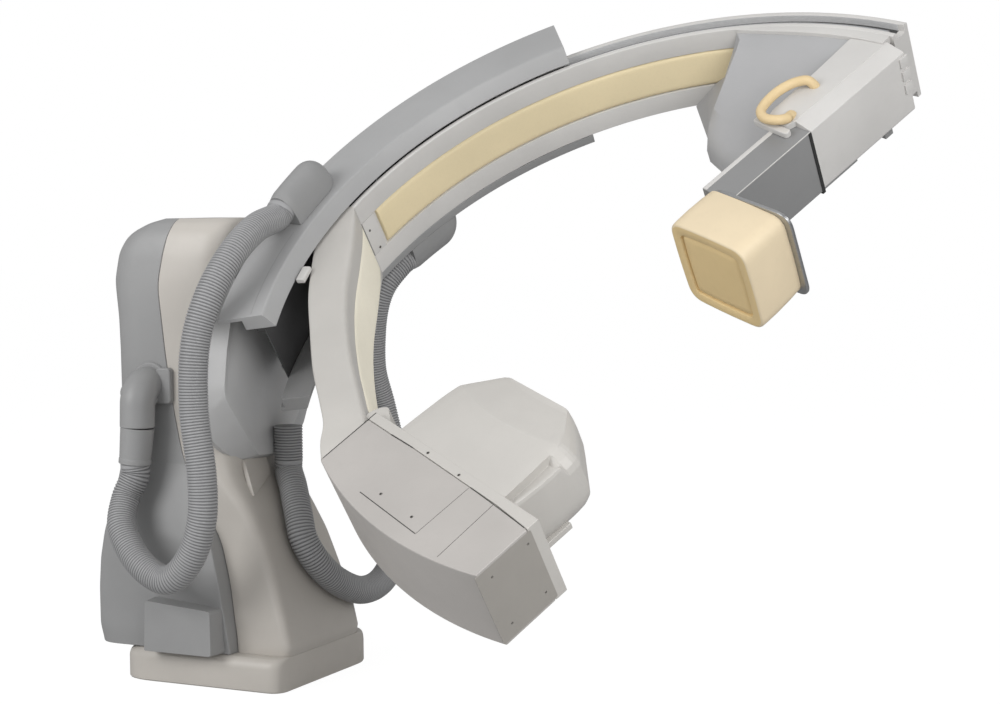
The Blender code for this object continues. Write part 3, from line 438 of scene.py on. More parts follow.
mainRoute = [
    (-0.240, -0.298, 0.555), (-0.215, -0.352, 0.470), (-0.120, -0.398, 0.382),
    (-0.009, -0.420, 0.343), (0.073, -0.424, 0.408), (0.119, -0.424, 0.526), (0.120, -0.422, 0.666),
    (0.095, -0.420, 0.852), (0.097, -0.410, 1.038), (0.121, -0.370, 1.179), (0.146, -0.286, 1.296),
    (0.155, -0.170, 1.372),
]
secondRoute = [
    (0.165, 0.010, 0.575), (0.213, -0.040, 0.500), (0.242, -0.060, 0.430), (0.271, -0.030, 0.355),
    (0.294, 0.050, 0.285), (0.312, 0.170, 0.238), (0.310, 0.310, 0.250), (0.292, 0.440, 0.330),
    (0.260, 0.520, 0.460), (0.222, 0.548, 0.620), (0.188, 0.538, 0.780), (0.175, 0.502, 0.900),
    (0.190, 0.476, 1.030), (0.212, 0.464, 1.120), (0.238, 0.476, 1.188),
]
cuffEnd = (-0.222, -0.2723, 0.6597)
spigotCentre = (0.125, 0.050, 0.655)
spigotEnd = (0.125, 0.050, 0.6547)
straight = conduit["straight"]
corrugated("conduitMain", [cuffEnd, (cuffEnd[0], cuffEnd[1], cuffEnd[2] - straight), *mainRoute,
                           hoseEnd(1.270, 173.0, 1, straight), hoseEnd(1.270, 173.0, 1, gap)], (0, 1, 0), "main_hose")
corrugated("conduitSecond", [spigotEnd, (spigotEnd[0], spigotEnd[1], spigotEnd[2] - straight), *secondRoute,
                             hoseEnd(1.250, 156.5, -1, straight), hoseEnd(1.250, 156.5, -1, gap)], (1, 0, 0),
           "second_hose")


# ---- floor stand
column = {
    "z": [0.1003, 0.200, 0.330, 0.430, 0.500, 0.571, 0.605, 0.655, 0.900, 1.100, 1.215, 1.300, 1.352, 1.385,
          1.402],
    "back": [-0.343, -0.360, -0.361, -0.361, -0.361, -0.361, -0.361, -0.360, -0.359, -0.362, -0.374, -0.359,
             -0.325, -0.262, -0.195],
    "front": [0.2895, 0.262, 0.222, 0.187, 0.152, 0.104, 0.074, 0.056, 0.0597, 0.0597, 0.0597, 0.0597, 0.058,
              0.052, 0.040],
    "half": [0.230, 0.228, 0.215, 0.206, 0.200, 0.200, 0.200, 0.200, 0.200, 0.200, 0.200, 0.197, 0.187, 0.168,
             0.140],
    "cornerZ": [0.10, 0.30, 0.47, 0.60, 0.75, 0.90, 1.15, 1.28, 1.39],
    "corner": [0.030, 0.032, 0.040, 0.060, 0.13, 0.17, 0.17, 0.13, 0.09],
    "flareZ": [0.1003, 0.125, 0.20, 0.31, 0.47, 0.61, 0.70, 1.40],
    "flare": [0.000, 0.014, 0.016, 0.010, 0.004, 0.006, 0.0, 0.0],
    "seamZ": [0.02, 0.15, 0.30, 0.43, 0.54, 0.675, 0.81, 0.98, 1.20, 1.36, 1.48],
    "seamX": [0.114, 0.106, 0.078, 0.040, -0.030, -0.097, -0.126, -0.154, -0.180, -0.148, -0.120],
    "seamGap": 0.0012, "seamEdge": 0.004, "backCorner": 0.10, "farCorner": 0.10,
    "base": 0.1003, "shoulder": 1.28, "crown": 0.122,
}


def columnSeam(z):
    # where the cream front meets the grey back, read along the height
    return softly(z, column["seamZ"], column["seamX"], 0.05)


def makeColumn():
    # plans stacked up the height, closer together over the crown: z = shoulder + crown sin(t)
    over = np.sin(np.linspace(0.04, 1, 26) * math.pi / 2)
    z = np.concatenate([np.linspace(column["base"], column["shoulder"], 90),
                        column["shoulder"] + column["crown"] * over])
    spread = np.clip(np.minimum(z - z.min(), z.max() - z), 0.0015, 0.028)
    back, front, half = (np.array([softly(h, column["z"], column[key], s) for h, s in zip(z, spread)])
                         for key in ("back", "front", "half"))
    corner = softly(z, column["cornerZ"], column["corner"], 0.04)
    farCorner = np.maximum(corner, column["farCorner"])
    seam = columnSeam(z)
    edge = column["seamEdge"]
    # the cream shell's near front edge is a crease that opens towards the foot
    flare = np.interp(z, column["flareZ"], column["flare"])
    cream = [roundCorners([(s, -h), (f + e, -h - 0.5 * e), (f + e, h), (s, h)], [edge, c, k, edge], 9)
             for f, h, c, k, s, e in zip(front, half, corner, farCorner, seam + column["seamGap"], flare)]
    bend = column["backCorner"]
    grey = [roundCorners(rectangle(b, s, -h, h), [bend, edge, edge, bend], 9) for b, h, s in zip(back, half, seam)]
    gridMesh("creamShell", atHeights(cream, z), "cream", "stand", replaces=("front_cover",), slot="cream_shell")
    gridMesh("greyShell", atHeights(grey, z), "grey", "stand", replaces=("back_cover",), slot="grey_shell")


lowerCover = {
    "z": [0.1003, 0.155, 0.270, 0.360, 0.440, 0.500, 0.560, 0.620, 0.660],
    "back": [-0.384, -0.392, -0.392, -0.390, -0.383, -0.375, -0.368, -0.362, -0.358],
    "half": [0.270, 0.279, 0.280, 0.274, 0.262, 0.244, 0.222, 0.206, 0.199],
    "spread": 0.02, "backCorner": 0.085, "seamCorner": 0.006,
    # the cable box's near face and root as (x, z) outlines; it goes from one to the other by the shares
    "boxFace": [(-0.155, 0.104), (0.084, 0.104), (0.082, 0.240), (-0.150, 0.257)],
    "boxRoot": [(-0.157, 0.104), (0.092, 0.104), (0.088, 0.240), (-0.152, 0.262)],
    "boxCorners": [0.006, 0.010, 0.014, 0.012],
    "boxDepths": [-0.258, -0.300, -0.330, -0.3365, -0.338], "boxShares": [0.0, 0.10, 0.90, 0.985, 1.02],
}


def makeLowerCover():
    z = np.linspace(lowerCover["z"][0], lowerCover["z"][-1], 46)
    back, half = (softly(z, lowerCover["z"], lowerCover[key], lowerCover["spread"]) for key in ("back", "half"))
    bend, edge = lowerCover["backCorner"], lowerCover["seamCorner"]
    plans = [roundCorners(rectangle(b, s, -h, h), [bend, edge, edge, bend], 9)
             for b, h, s in zip(back, half, columnSeam(z))]
    gridMesh("lowerShell", atHeights(plans, z), "grey", "stand", replaces=("lower_rear_cover",),
             slot="grey_shell", bevel=(0.003, 3))
    face, root = (roundCorners(lowerCover[key], lowerCover["boxCorners"], 5) for key in ("boxFace", "boxRoot"))
    outlines = [root + (face - root) * share for share in lowerCover["boxShares"]]
    rings = [worldSpot(o[:, 0], depth, o[:, 1]) for o, depth in zip(outlines, lowerCover["boxDepths"])]
    gridMesh("cableBox", np.stack(rings), "grey", "stand", replaces=("cable_box",), slot="grey_shell", sharp=30,
             bevel=(0.004, 3))


foot = {"half": 0.290, "corners": [0.115, 0.050, 0.115, 0.115], "wall": 0.066, "rise": 0.034, "inset": 0.026,
        "edge": 0.004}


def makeFoot():
    # an upright wall, then a quarter ellipse inwards: height wall + rise sin(t), inset (1 - cos(t))
    half = foot["half"]
    t = np.linspace(0, math.pi / 2, 9)[1:]
    height = np.concatenate([[0.0, foot["edge"], foot["wall"]], foot["wall"] + foot["rise"] * np.sin(t)])
    inset = np.concatenate([[foot["edge"], 0.0, 0.0], foot["inset"] * (1 - np.cos(t))])
    plans = [roundCorners(rectangle(-half + i, half, -half + i, half - i), foot["corners"], 12) for i in inset]
    gridMesh("footShell", atHeights(plans, height), "cream", "stand", replaces=("foot_cover",), slot="cream_shell")


pod = {
    # (half width, height) up one side, for the rim at the back and for the ridge round the dish
    "rim": [(0.0, 0.655), (0.110, 0.660), (0.205, 0.704), (0.262, 0.741), (0.302, 0.815), (0.302, 0.893),
            (0.288, 0.985), (0.272, 1.080), (0.262, 1.180), (0.240, 1.250), (0.175, 1.312), (0.100, 1.345)],
    "ridge": [(0.0, 0.674), (0.068, 0.679), (0.120, 0.733), (0.176, 0.790), (0.246, 0.868), (0.250, 0.900),
              (0.234, 1.009), (0.212, 1.090), (0.200, 1.180), (0.178, 1.240), (0.120, 1.290), (0.060, 1.310)],
    # (x, share across, share up) of the ridge, down into the dish
    "dish": [(0.0900, 1.0, 1.0), (0.0898, 0.985, 0.985), (0.0870, 0.95, 0.94), (0.081, 0.89, 0.86),
             (0.0760, 0.81, 0.76), (0.0735, 0.72, 0.63), (0.0728, 0.60, 0.48), (0.0725, 0.40, 0.30)],
    "back": 0.034, "side": 0.052, "front": 0.0865, "corner": 0.012,
    "outletHeight": 0.104, "outletSwell": 0.001,
    "plate": [(0.0640, -0.112, 0.668), (0.118, -0.142, 0.561), (0.080, 0.013, 0.611), (0.0640, 0.013, 0.668)],
    "hubRadius": 0.085, "hubStart": 0.070, "hubLength": 0.060,
}


def makePod():
    rim, ridge = np.array(pod["rim"]), np.array(pod["ridge"])
    axisHeight = iso[2]

    def layer(x, half, across=1.0, up=1.0):
        # the half outline mirrored, then shrunk towards the axis
        outline = np.vstack([half, half[::-1][:-1] * [-1, 1]]) * [across, up] + [0, axisHeight * (1 - up)]
        outline = roundCorners(outline, pod["corner"], 4)
        return worldSpot(x, outline[:, 0], outline[:, 1])

    rings = [layer(pod["back"], rim), layer(pod["side"], rim), layer(pod["front"], 0.04 * rim + 0.96 * ridge)]
    rings += [layer(x, ridge, across, up) for x, across, up in pod["dish"]]
    # the pod shell wears the lighter copy of the grey enamel: painted light on its dish
    gridMesh("podShell", np.stack(rings), "pod", "stand", replaces=("bearing_pod",), slot="grey_shell", sharp=40)
    # ribbed outlet of the second hose
    height = np.linspace(0, pod["outletHeight"], 72)
    rib = ribShare(height)
    around = 48
    profile = np.column_stack([conduit["radius"] + pod["outletSwell"] - conduit["groove"] * rib, height])
    # the outlet's grooves get painted shade through the shade attribute
    turnedMesh("hoseOutlet", profile, spigotCentre, (0, 0, 1), "hose", "stand", around=around, sharp=180,
               shade=np.repeat(rib, around))
    # a small pointed plate below the pod, on the column's sloping front
    plate = roundCorners(pod["plate"], 0.006, 4)
    gridMesh("pointedPlate", np.stack([plate - [0.012, 0, 0], plate - [0.001, 0, 0], plate + [0.0035, 0, 0.001]]),
             "cream", "stand", sharp=25, bevel=(0.0015, 2))
    hub = [(0.0, 0), (pod["hubRadius"], 0), (pod["hubRadius"], pod["hubLength"]), (0.0, pod["hubLength"])]
    turnedMesh("hubCollar", hub, (pod["hubStart"], 0, axisHeight), (1, 0, 0), "grey", "carrier",
               replaces=("hub_shaft",), slot="casting", bevel=(0.002, 2))


elbow = {
    "x": -0.2095, "z": 0.900, "start": -0.2003, "bend": 0.060, "radius": 0.0530, "lean": 0.002, "lead": 0.010,
    "foot": 0.7725, "capRadius": 0.034, "capLength": 0.030, "capBack": 0.044, "capDrop": 0.026,
    "flange": [(0.0, 0), (0.066, 0), (0.066, 0.008), (0.062, 0.012), (0.0, 0.012)],
    "saddle": (0.030, 0.084, 0.840, 0.950),  # from, to beside the elbow; low, high
    # shares down the cuff and its radius there
    "cuffShare": [0.0, 0.02, 0.30, 0.62, 0.84, 0.86, 0.98, 1.0],
    "cuffRadius": [0.0500, 0.0515, 0.0505, 0.0490, 0.0480, 0.0495, 0.0495, 0.0470],
}


def makeElbow():
    # an upright boot with a domed top, a leaning cuff below it and a round cap on its left
    x, z, start, bend, steps = elbow["x"], elbow["z"], elbow["start"], elbow["bend"], 16
    centreY = start - elbow["lead"] - bend
    turn = np.linspace(0, math.pi / 2, steps)
    curve = worldSpot(x, start - elbow["lead"] - bend * np.sin(turn), z - bend * (1 - np.cos(turn)))
    line = np.vstack([[(x, start + 0.004, z)], curve, [(x - elbow["lean"], centreY, elbow["foot"])]])
    tubeMesh("elbowShell", line, elbow["radius"], (1, 0, 0), "grey", "stand", around=48, replaces=("hose_elbow",),
             slot="grey_shell", bevel=(0.003, 3))
    t = np.linspace(0, math.pi / 2, 12)
    cap = np.column_stack([np.cos(t), np.sin(t)]) * elbow["capRadius"] + [0, elbow["capLength"]]
    turnedMesh("elbowCap", np.vstack([[(elbow["capRadius"], -0.05)], cap]),
               (x - 0.010, start - elbow["capBack"], z - elbow["capDrop"]), (-1, 0, 0), "grey", "stand")
    turnedMesh("elbowFlange", elbow["flange"], (x, start + 0.003, z), (0, -1, 0), "grey", "stand",
               bevel=(0.002, 2))
    # saddle block between the boot and the column
    near, far, low, high = elbow["saddle"]
    saddle = roundCorners(rectangle(x + near, x + far, low, high), 0.014, 4)
    slab("elbowSaddle", saddle, start - 0.020, start + 0.006, lambda a, c, y: worldSpot(a, y, c), "grey", "stand",
         bevel=(0.006, 3))
    top = np.array([x - elbow["lean"], centreY, elbow["foot"] - 0.002])
    low = np.array(cuffEnd) + [0, 0, gap]
    tubeMesh("cuffShell", top + (low - top) * np.array(elbow["cuffShare"])[:, None], elbow["cuffRadius"],
             (1, 0, 0), "grey", "stand", around=48, replaces=("hose_cuff",), slot="grey_shell")


makeColumn()
makeLowerCover()
makeFoot()
makePod()
makeElbow()
print("stand made")

# ---- sleeve, on the carrier; radii and depths from the ring's axis, ends in degrees round it
sleeve = {
    "start": 122.0, "end": 192.0, "lip": 1.161, "lipSide": 0.144, "shoulder": 1.190, "outer": 1.335,
    "skin": 0.014, "rib": 1.2585, "corners": [0.004, 0.006, 0.007, 0.002, 0.002, 0.002],
    "cut": 0.060, "cutFrom": 183.5, "cutOver": 2.0,  # the far cover's outside, beside the pod
    "back": (1.318, 1.330), "backEnds": (123, 163),
    "wall": (1.2600, 1.2635), "wallEnds": (123, 187.5),
    "seam": (1.2265, 1.2280), "seamEnds": (174.5, 191.6),
    "pad": (1.128, 1.156, 0.1385, 0.156), "padEnds": (179.6, 182.6),
}


def makeSleeve():
    side, inner = sleeveHalf, sleeveHalf - sleeve["skin"]
    section = np.array([(sleeve["lip"], sleeve["lipSide"]), (sleeve["shoulder"], side), (sleeve["outer"], side),
                        (sleeve["outer"], inner), (sleeve["rib"], inner), (sleeve["rib"], sleeve["lipSide"])])
    sweepRing("sleeveShellNear", roundCorners(section, sleeve["corners"], 4), (sleeve["start"], sleeve["end"]),
              "sleeve", "carrier", replaces=("sleeve_cover_near",), slot="sleeve_shell", bevel=(0.0025, 2))
    # the far cover is cut away outside at its lower end
    rings = []
    for degrees in np.linspace(sleeve["start"], sleeve["end"], 94):
        mirrored = section * [1, -1]
        mirrored[2:4, 0] -= sleeve["cut"] * np.clip((degrees - sleeve["cutFrom"]) / sleeve["cutOver"], 0, 1)
        plan = roundCorners(mirrored, sleeve["corners"], 4)
        rings.append(ringSpot(plan[:, 0], degrees, plan[:, 1]))
    gridMesh("sleeveShellFar", np.stack(rings), "sleeve", "carrier", replaces=("sleeve_cover_far",),
             slot="sleeve_shell", bevel=(0.0025, 2))
    reach = inner - gap
    back = roundCorners(rectangle(*sleeve["back"], -reach, reach), 0.003, 3)
    sweepRing("sleeveBackShell", back, sleeve["backEnds"], "sleeve", "carrier", replaces=("sleeve_back_cover",),
              slot="sleeve_shell")
    # the wall inside the sleeve is painted dark: painted shade
    sweepRing("sleeveWall", rectangle(*sleeve["wall"], -reach, reach), sleeve["wallEnds"], "wallShade", "carrier",
              replaces=("sleeve_frame",), slot="alloy")
    # fine seam along the near face, and the wear pad at the lower mouth
    sweepRing("sleeveSeam", rectangle(*sleeve["seam"], side - 0.002, side + 0.0003), sleeve["seamEnds"], "grey",
              "carrier")
    sweepRing("mouthPad", roundCorners(rectangle(*sleeve["pad"]), 0.006, 4), sleeve["padEnds"], "light",
              "carrier", bevel=(0.004, 3), replaces=("mouth_pad",), slot="wear_pad")


fitting = {"half": 0.054, "height": 0.110, "foot": 0.012, "blunt": 0.25, "bluntOver": 0.34, "pinch": 0.05,
           "length": 10.0}


def makeFitting(name, node, radius, start, side):
    # a hood: its size follows blunt + (1 - blunt) sqrt(1 - (1 - t)^2) from the upper end, with a slight pinch below
    along = np.concatenate([np.linspace(0, 0.12, 8), np.linspace(0.15, 1.0, 22)])[:, None]
    rise = np.clip(along / fitting["bluntOver"], 0, 1)
    share = fitting["blunt"] + (1 - fitting["blunt"]) * np.sqrt(np.clip(1 - (1 - rise) ** 2, 0, 1))
    share = share * (1 - fitting["pinch"] * np.clip((along - 0.9) / 0.1, 0, 1))
    turn = np.radians(np.linspace(180, 0, 33))[None]
    across = np.cos(turn) + 0 * along
    lift = fitting["foot"] * share + (fitting["height"] - fitting["foot"]) * share * np.sin(turn)
    across = np.hstack([across[:, :1], across, across[:, -1:]])
    lift = np.hstack([0 * along, lift, 0 * along])
    points = ringSpot(radius + fitting["half"] * share * across, start + fitting["length"] * along,
                      side * (sleeveHalf + gap + lift))
    gridMesh(name, points, "grey", "carrier", sharp=50, replaces=(node,), slot="grey_shell", bevel=(0.002, 2))


makeSleeve()
makeFitting("hoseHoodNear", "hose_fitting_near", 1.270, 163.0, 1)
makeFitting("hoseHoodFar", "hose_fitting_far", 1.250, 146.5, -1)
print("sleeve made")

# ---- arc
arcSize = {
    "start": 69.0, "end": 165.0, "inner": 1.150, "outer": 1.225, "half": 0.1365, "grooveLow": 1.166,
    "grooveHigh": 1.208, "grooveDepth": 0.025, "panelHalf": 0.0655, "recess": 0.010,
    "corners": [0.001, 0.002, 0.006, 0.002, 0.001, 0.001, 0.002, 0.005],
    "railWide": 0.0097, "railSet": 0.004, "railEnds": (70.5, 164.0),
    "track": 0.0012, "trackSet": 0.0015, "grooveEnds": (70.0, 164.5),
}


def makeArc():
    half, low, high = arcSize["half"], arcSize["grooveLow"], arcSize["grooveHigh"]
    floor, edge = half - arcSize["grooveDepth"], arcSize["panelHalf"] + gap
    near = [(arcSize["inner"], edge), (arcSize["inner"], half), (low, half), (low, floor), (high, floor),
            (high, half), (arcSize["outer"], half)]
    bottom = arcSize["inner"] + arcSize["recess"]
    section = [(bottom, edge)] + near + [(r, -z) for r, z in near[::-1]] + [(bottom, -edge)]
    corners = arcSize["corners"] + arcSize["corners"][::-1]
    sweepRing("arcShell", roundCorners(section, corners, 3), (arcSize["start"], arcSize["end"]), "light", "arc",
              replaces=("arc_beam",), slot="arc_alloy")
    low += gap
    high -= gap
    rail = roundCorners(rectangle(low, low + arcSize["railWide"], floor + gap, half - arcSize["railSet"]), 0.0012, 2)
    # polished track on the groove's upper wall, and a dark sheet of painted shade on its floor
    track = rectangle(high + gap - arcSize["track"], high, floor + gap, half - arcSize["trackSet"])
    floorShade = rectangle(low + 0.0101, high, floor + gap, floor + 0.0008)
    for name, side, node in (("railNear", 1, "rail_near"), ("railFar", -1, "rail_far")):
        sweepRing(name, rail * [1, side], arcSize["railEnds"], "steel", "arc", replaces=(node,), slot="rail_steel")
    for name, section, paint in (("grooveTrack", track, "track"), ("grooveShadeSheet", floorShade, "dark")):
        for side, end in ((1, "Near"), (-1, "Far")):
            sweepRing(name + end, section * [1, side], arcSize["grooveEnds"], paint, "arc")


def padStrip(name, rows, paint, node, thick, low, high, crown):
    # rows is a line of (radius, angle) inside the arc; across it the pad lifts thick (1 - u^14) + crown (1 - u^2)
    rows = np.asarray(rows)
    across = np.linspace(-1, 1, 25)
    lift = thick * (1 - np.abs(across) ** 14) + crown * (1 - across ** 2)
    place = (low + high) / 2 + across * (high - low) / 2
    order = np.arange(len(rows))
    taper = np.clip(np.minimum(order, order[::-1]) / 3, 0, 1)[:, None] ** 0.5
    radius, degrees = rows[:, :1], rows[:, 1:]
    top = ringSpot(radius - lift * taper, degrees, place)
    under = ringSpot(radius, degrees, place[::-1])
    gridMesh(name, np.concatenate([top, under], axis=1), paint, "arc", sharp=60, replaces=(node,),
             slot="soft_panel")


panel = {"start": 96.0, "startEase": 1.2, "end": 160.4, "endEase": 0.9, "thick": 0.0098, "crown": 0.0015,
         "plate": (1.1492, 1.1597), "plateEnds": (162.1, 164.9),
         "screws": ((0.026, 164.0), (-0.052, 163.4)), "screwRadius": 1.1485, "screwSize": 0.0042}


def makePanels():
    # the rows crowd together over the pad's first and last degree
    first = panel["start"] + panel["startEase"] * (1 - np.cos(np.linspace(0, 1.35, 9)))
    last = panel["end"] + panel["endEase"] * np.sin(np.linspace(0.1, 1.5, 9))
    angle = np.concatenate([first, np.linspace(97.8, panel["end"], 110), last])
    half = arcSize["panelHalf"]
    radius = np.full(len(angle), arcSize["inner"] + arcSize["recess"] - gap)
    padStrip("panelPad", np.column_stack([radius, angle]), "pad", "inner_panel", panel["thick"], -half, half,
             panel["crown"])
    plate = roundCorners(rectangle(*panel["plate"], -half, half), 0.001, 2)
    sweepRing("jointPlate", plate, panel["plateEnds"], "light", "arc", replaces=("joint_plate",), slot="arc_shell")
    for number, (depth, degrees) in enumerate(panel["screws"]):
        spot = ringSpot(panel["screwRadius"], degrees, depth)
        inward = iso - ringSpot(panel["screwRadius"], degrees, 0.0)
        screwHead("plateScrew%d" % number, spot, inward, panel["screwSize"], "arc")


lowerArm = {
    # (radius, angle) round the ring's axis, then a last point (across, along) on the tube box
    "inner": [(1.150, 165.0), (1.125, 166.4), (1.082, 169.7), (1.037, 174.6), (0.985, 183.2), (0.945, 191.8),
              (0.915, 201.4), (0.901, 211.0)],
    "outer": [(1.225, 165.0), (1.222, 168.0), (1.205, 171.5), (1.153, 177.5), (1.104, 185.0), (1.058, 193.2),
              (1.030, 203.0), (1.018, 211.5), (1.024, 216.7), (1.050, 220.4)],
    "innerEnd": (-0.332, -0.850), "outerEnd": (-0.332, -1.018), "waist": 0.020, "rows": 90,
    "padEnds": (165.4, 213.0), "padThick": 0.0032, "padCrown": 0.001, "padSides": (-0.106, 0.0655),
}


def polarPairs(stations):
    radius, degrees = np.asarray(stations).T
    return np.column_stack([radius * np.cos(np.radians(degrees)), radius * np.sin(np.radians(degrees))])


def beamToRing(across, along):
    return np.array([across * math.cos(beamTurn) + along * math.sin(beamTurn),
                     along * math.cos(beamTurn) - across * math.sin(beamTurn)])


def armEdge(stations, end):
    # a smooth line through the stations, moved off the arc by a gap and read at equal distances
    line = smoothLine(np.vstack([polarPairs(stations), beamToRing(*end)]), 0.012)
    joint = math.radians(arcSize["end"])
    line[0] += np.array([-math.sin(joint), math.cos(joint)]) * gap
    at = np.concatenate([[0], np.cumsum(np.linalg.norm(np.diff(line, axis=0), axis=1))])
    read = np.linspace(0, at[-1], lowerArm["rows"])
    return np.stack([np.interp(read, at, line[:, k]) for k in range(2)], axis=1)


def makeLowerArm():
    # a ladder of rings from the inner to the outer edge; the far side draws in between the two ends
    half, rows = arcSize["half"], lowerArm["rows"]
    step = np.arange(rows)
    far = -half + lowerArm["waist"] * np.clip(step / 12, 0, 1) * np.clip((rows - 1 - step) / 14, 0, 1)
    ease = np.minimum(1.0, step / 8)
    rings = []
    for a, b, f, e in zip(armEdge(lowerArm["inner"], lowerArm["innerEnd"]),
                          armEdge(lowerArm["outer"], lowerArm["outerEnd"]), far, ease):
        width = np.linalg.norm(b - a)
        section = roundCorners([(0, f), (width, f), (width, half), (0, half)],
                               [0.004 + 0.010 * e, 0.008, 0.008, 0.004 + 0.018 * e], 6)
        spot = a + (b - a) * (section[:, :1] / width)
        rings.append(iso + spot[:, :1] * alongX + spot[:, 1:] * ringUp + section[:, 1:] * ringFace)
    gridMesh("armShell", np.stack(rings), "tube", "arc", replaces=("lower_arm",), slot="arc_shell")
    angles = np.linspace(*lowerArm["padEnds"], 100)
    x, y = smoothLine(polarPairs(lowerArm["inner"]), 0.01).T
    radius = np.interp(angles, np.degrees(np.arctan2(y, x)) % 360, np.hypot(x, y))
    # the arm's pad wears the paler copy of the vinyl: painted light
    padStrip("armPad", np.column_stack([radius - gap, angles]), "padLit", "lower_panel", lowerArm["padThick"],
             *lowerArm["padSides"], lowerArm["padCrown"])


makeArc()
makePanels()
makeLowerArm()
print("arc made")

# ---- tube box and tube housing, drawn across and along the beam
tubeBox = {
    "start": -0.332, "end": 0.365,
    "seam": [(-0.332, -0.841), (-0.225, -0.844), (-0.136, -0.844), (0.125, -0.855), (0.230, -0.859),
             (0.353, -0.871), (0.366, -0.873)],
    "outerRadius": 1.071, "outerFrom": 224.0, "outerGrowth": 0.00113,
    "endPlate": (-1.0575, -0.8635, -0.128, 0.128), "endPlateSet": 0.003, "endPlateProud": 0.0004,
    # dark lines between the near covers: start, end, half width
    "lines": [((0.2300, -1.066), (0.2232, -0.861), 0.0006), ((-0.1340, -1.0335), (0.1165, -1.0465), 0.0013),
              ((0.1180, -1.0465), (0.1205, -0.858), 0.0005), ((-0.3300, -1.0090), (-0.3318, -0.812), 0.0014),
              ((-0.2250, -0.8440), (-0.1340, -0.844), 0.0013), ((0.1230, -0.8550), (0.3530, -0.8712), 0.0011)],
    "panel": [(-0.1345, -1.0315), (0.1160, -1.0445), (0.1185, -0.860), (-0.1345, -0.847)],
    "nearScrews": [(-0.078, -0.834), (0.061, -0.842), (-0.076, -1.006), (0.063, -1.013)],  # across, along
    "endScrews": [(-0.885, 0.095), (-1.012, 0.093), (-0.891, -0.085), (-1.013, -0.085)],  # along, depth
    # soft fillet where the arm turns into the base
    "fillet": [(-0.372, -0.806), (-0.356, -0.780), (-0.338, -0.768), (-0.312, -0.788), (-0.270, -0.814),
               (-0.270, -0.846), (-0.372, -0.846)],
    "filletCorners": [0.016, 0.014, 0.012, 0.02, 0.01, 0.002, 0.002],
}


def boxSeam(across):
    return np.interp(across, *np.array(tubeBox["seam"]).T)


def boxOuter(across):
    # the outer edge's radius grows slowly with its angle; settled by repeated substitution
    degrees = np.full(np.shape(across), 240.0)
    for _ in range(12):
        radius = tubeBox["outerRadius"] + (degrees - tubeBox["outerFrom"]) * tubeBox["outerGrowth"]
        degrees = 270 - math.degrees(beamTurn) + np.degrees(np.arcsin(across / radius))
    return -np.sqrt(radius ** 2 - across ** 2)


def makeTubeBox():
    half, end = arcSize["half"], tubeBox["end"]
    places = np.linspace(tubeBox["start"] + gap, end, 58)
    outline = np.vstack([np.column_stack([places, boxSeam(places)])[::-1],
                         np.column_stack([places, boxOuter(places)])])
    # the box shell wears the darker copy of the housing enamel: painted shade
    facePlate("boxShell", outline, -half, half, "box", bevel=(0.0040, 4), replaces=("tube_box", "box_end_block"),
              slot="arc_shell")
    plate = roundCorners(rectangle(*tubeBox["endPlate"]), 0.006, 4)
    # the end plate is painted darker: painted shade on the box's end face
    slab("boxEndPlate", plate, end - tubeBox["endPlateSet"], end + tubeBox["endPlateProud"],
         lambda along, depth, across: beamSpot(across, along, depth), "endShade", "arc")
    for number, (first, last, width) in enumerate(tubeBox["lines"]):
        first, last = np.array(first), np.array(last)
        side = np.array([last[1] - first[1], first[0] - last[0]])
        side *= width / np.linalg.norm(side)
        strip = [first - side, last - side, last + side, first + side]
        facePlate("coverLine%d" % number, strip, half - 0.002, half + 0.0003, "seam")
    panelOutline = roundCorners(tubeBox["panel"], [0.002, 0.010, 0.001, 0.001], 4)
    # the access panel wears the same darker copy: painted shade
    facePlate("accessPanel", panelOutline, half - 0.002, half + 0.0002, "box", replaces=("access_panel",),
              slot="arc_shell")
    for number, (across, along) in enumerate(tubeBox["nearScrews"]):
        screwHead("nearScrew%d" % number, beamSpot(across, along, half + 0.0006), ringFace, 0.0042, "arc")
    for number, (along, depth) in enumerate(tubeBox["endScrews"]):
        screwHead("endScrew%d" % number, beamSpot(end, along, depth), beamAcross, 0.0040, "arc")
    fillet = roundCorners(tubeBox["fillet"], tubeBox["filletCorners"], 5)
    facePlate("cornerFillet", fillet, -0.100, 0.118, "tube", bevel=(0.012, 5))


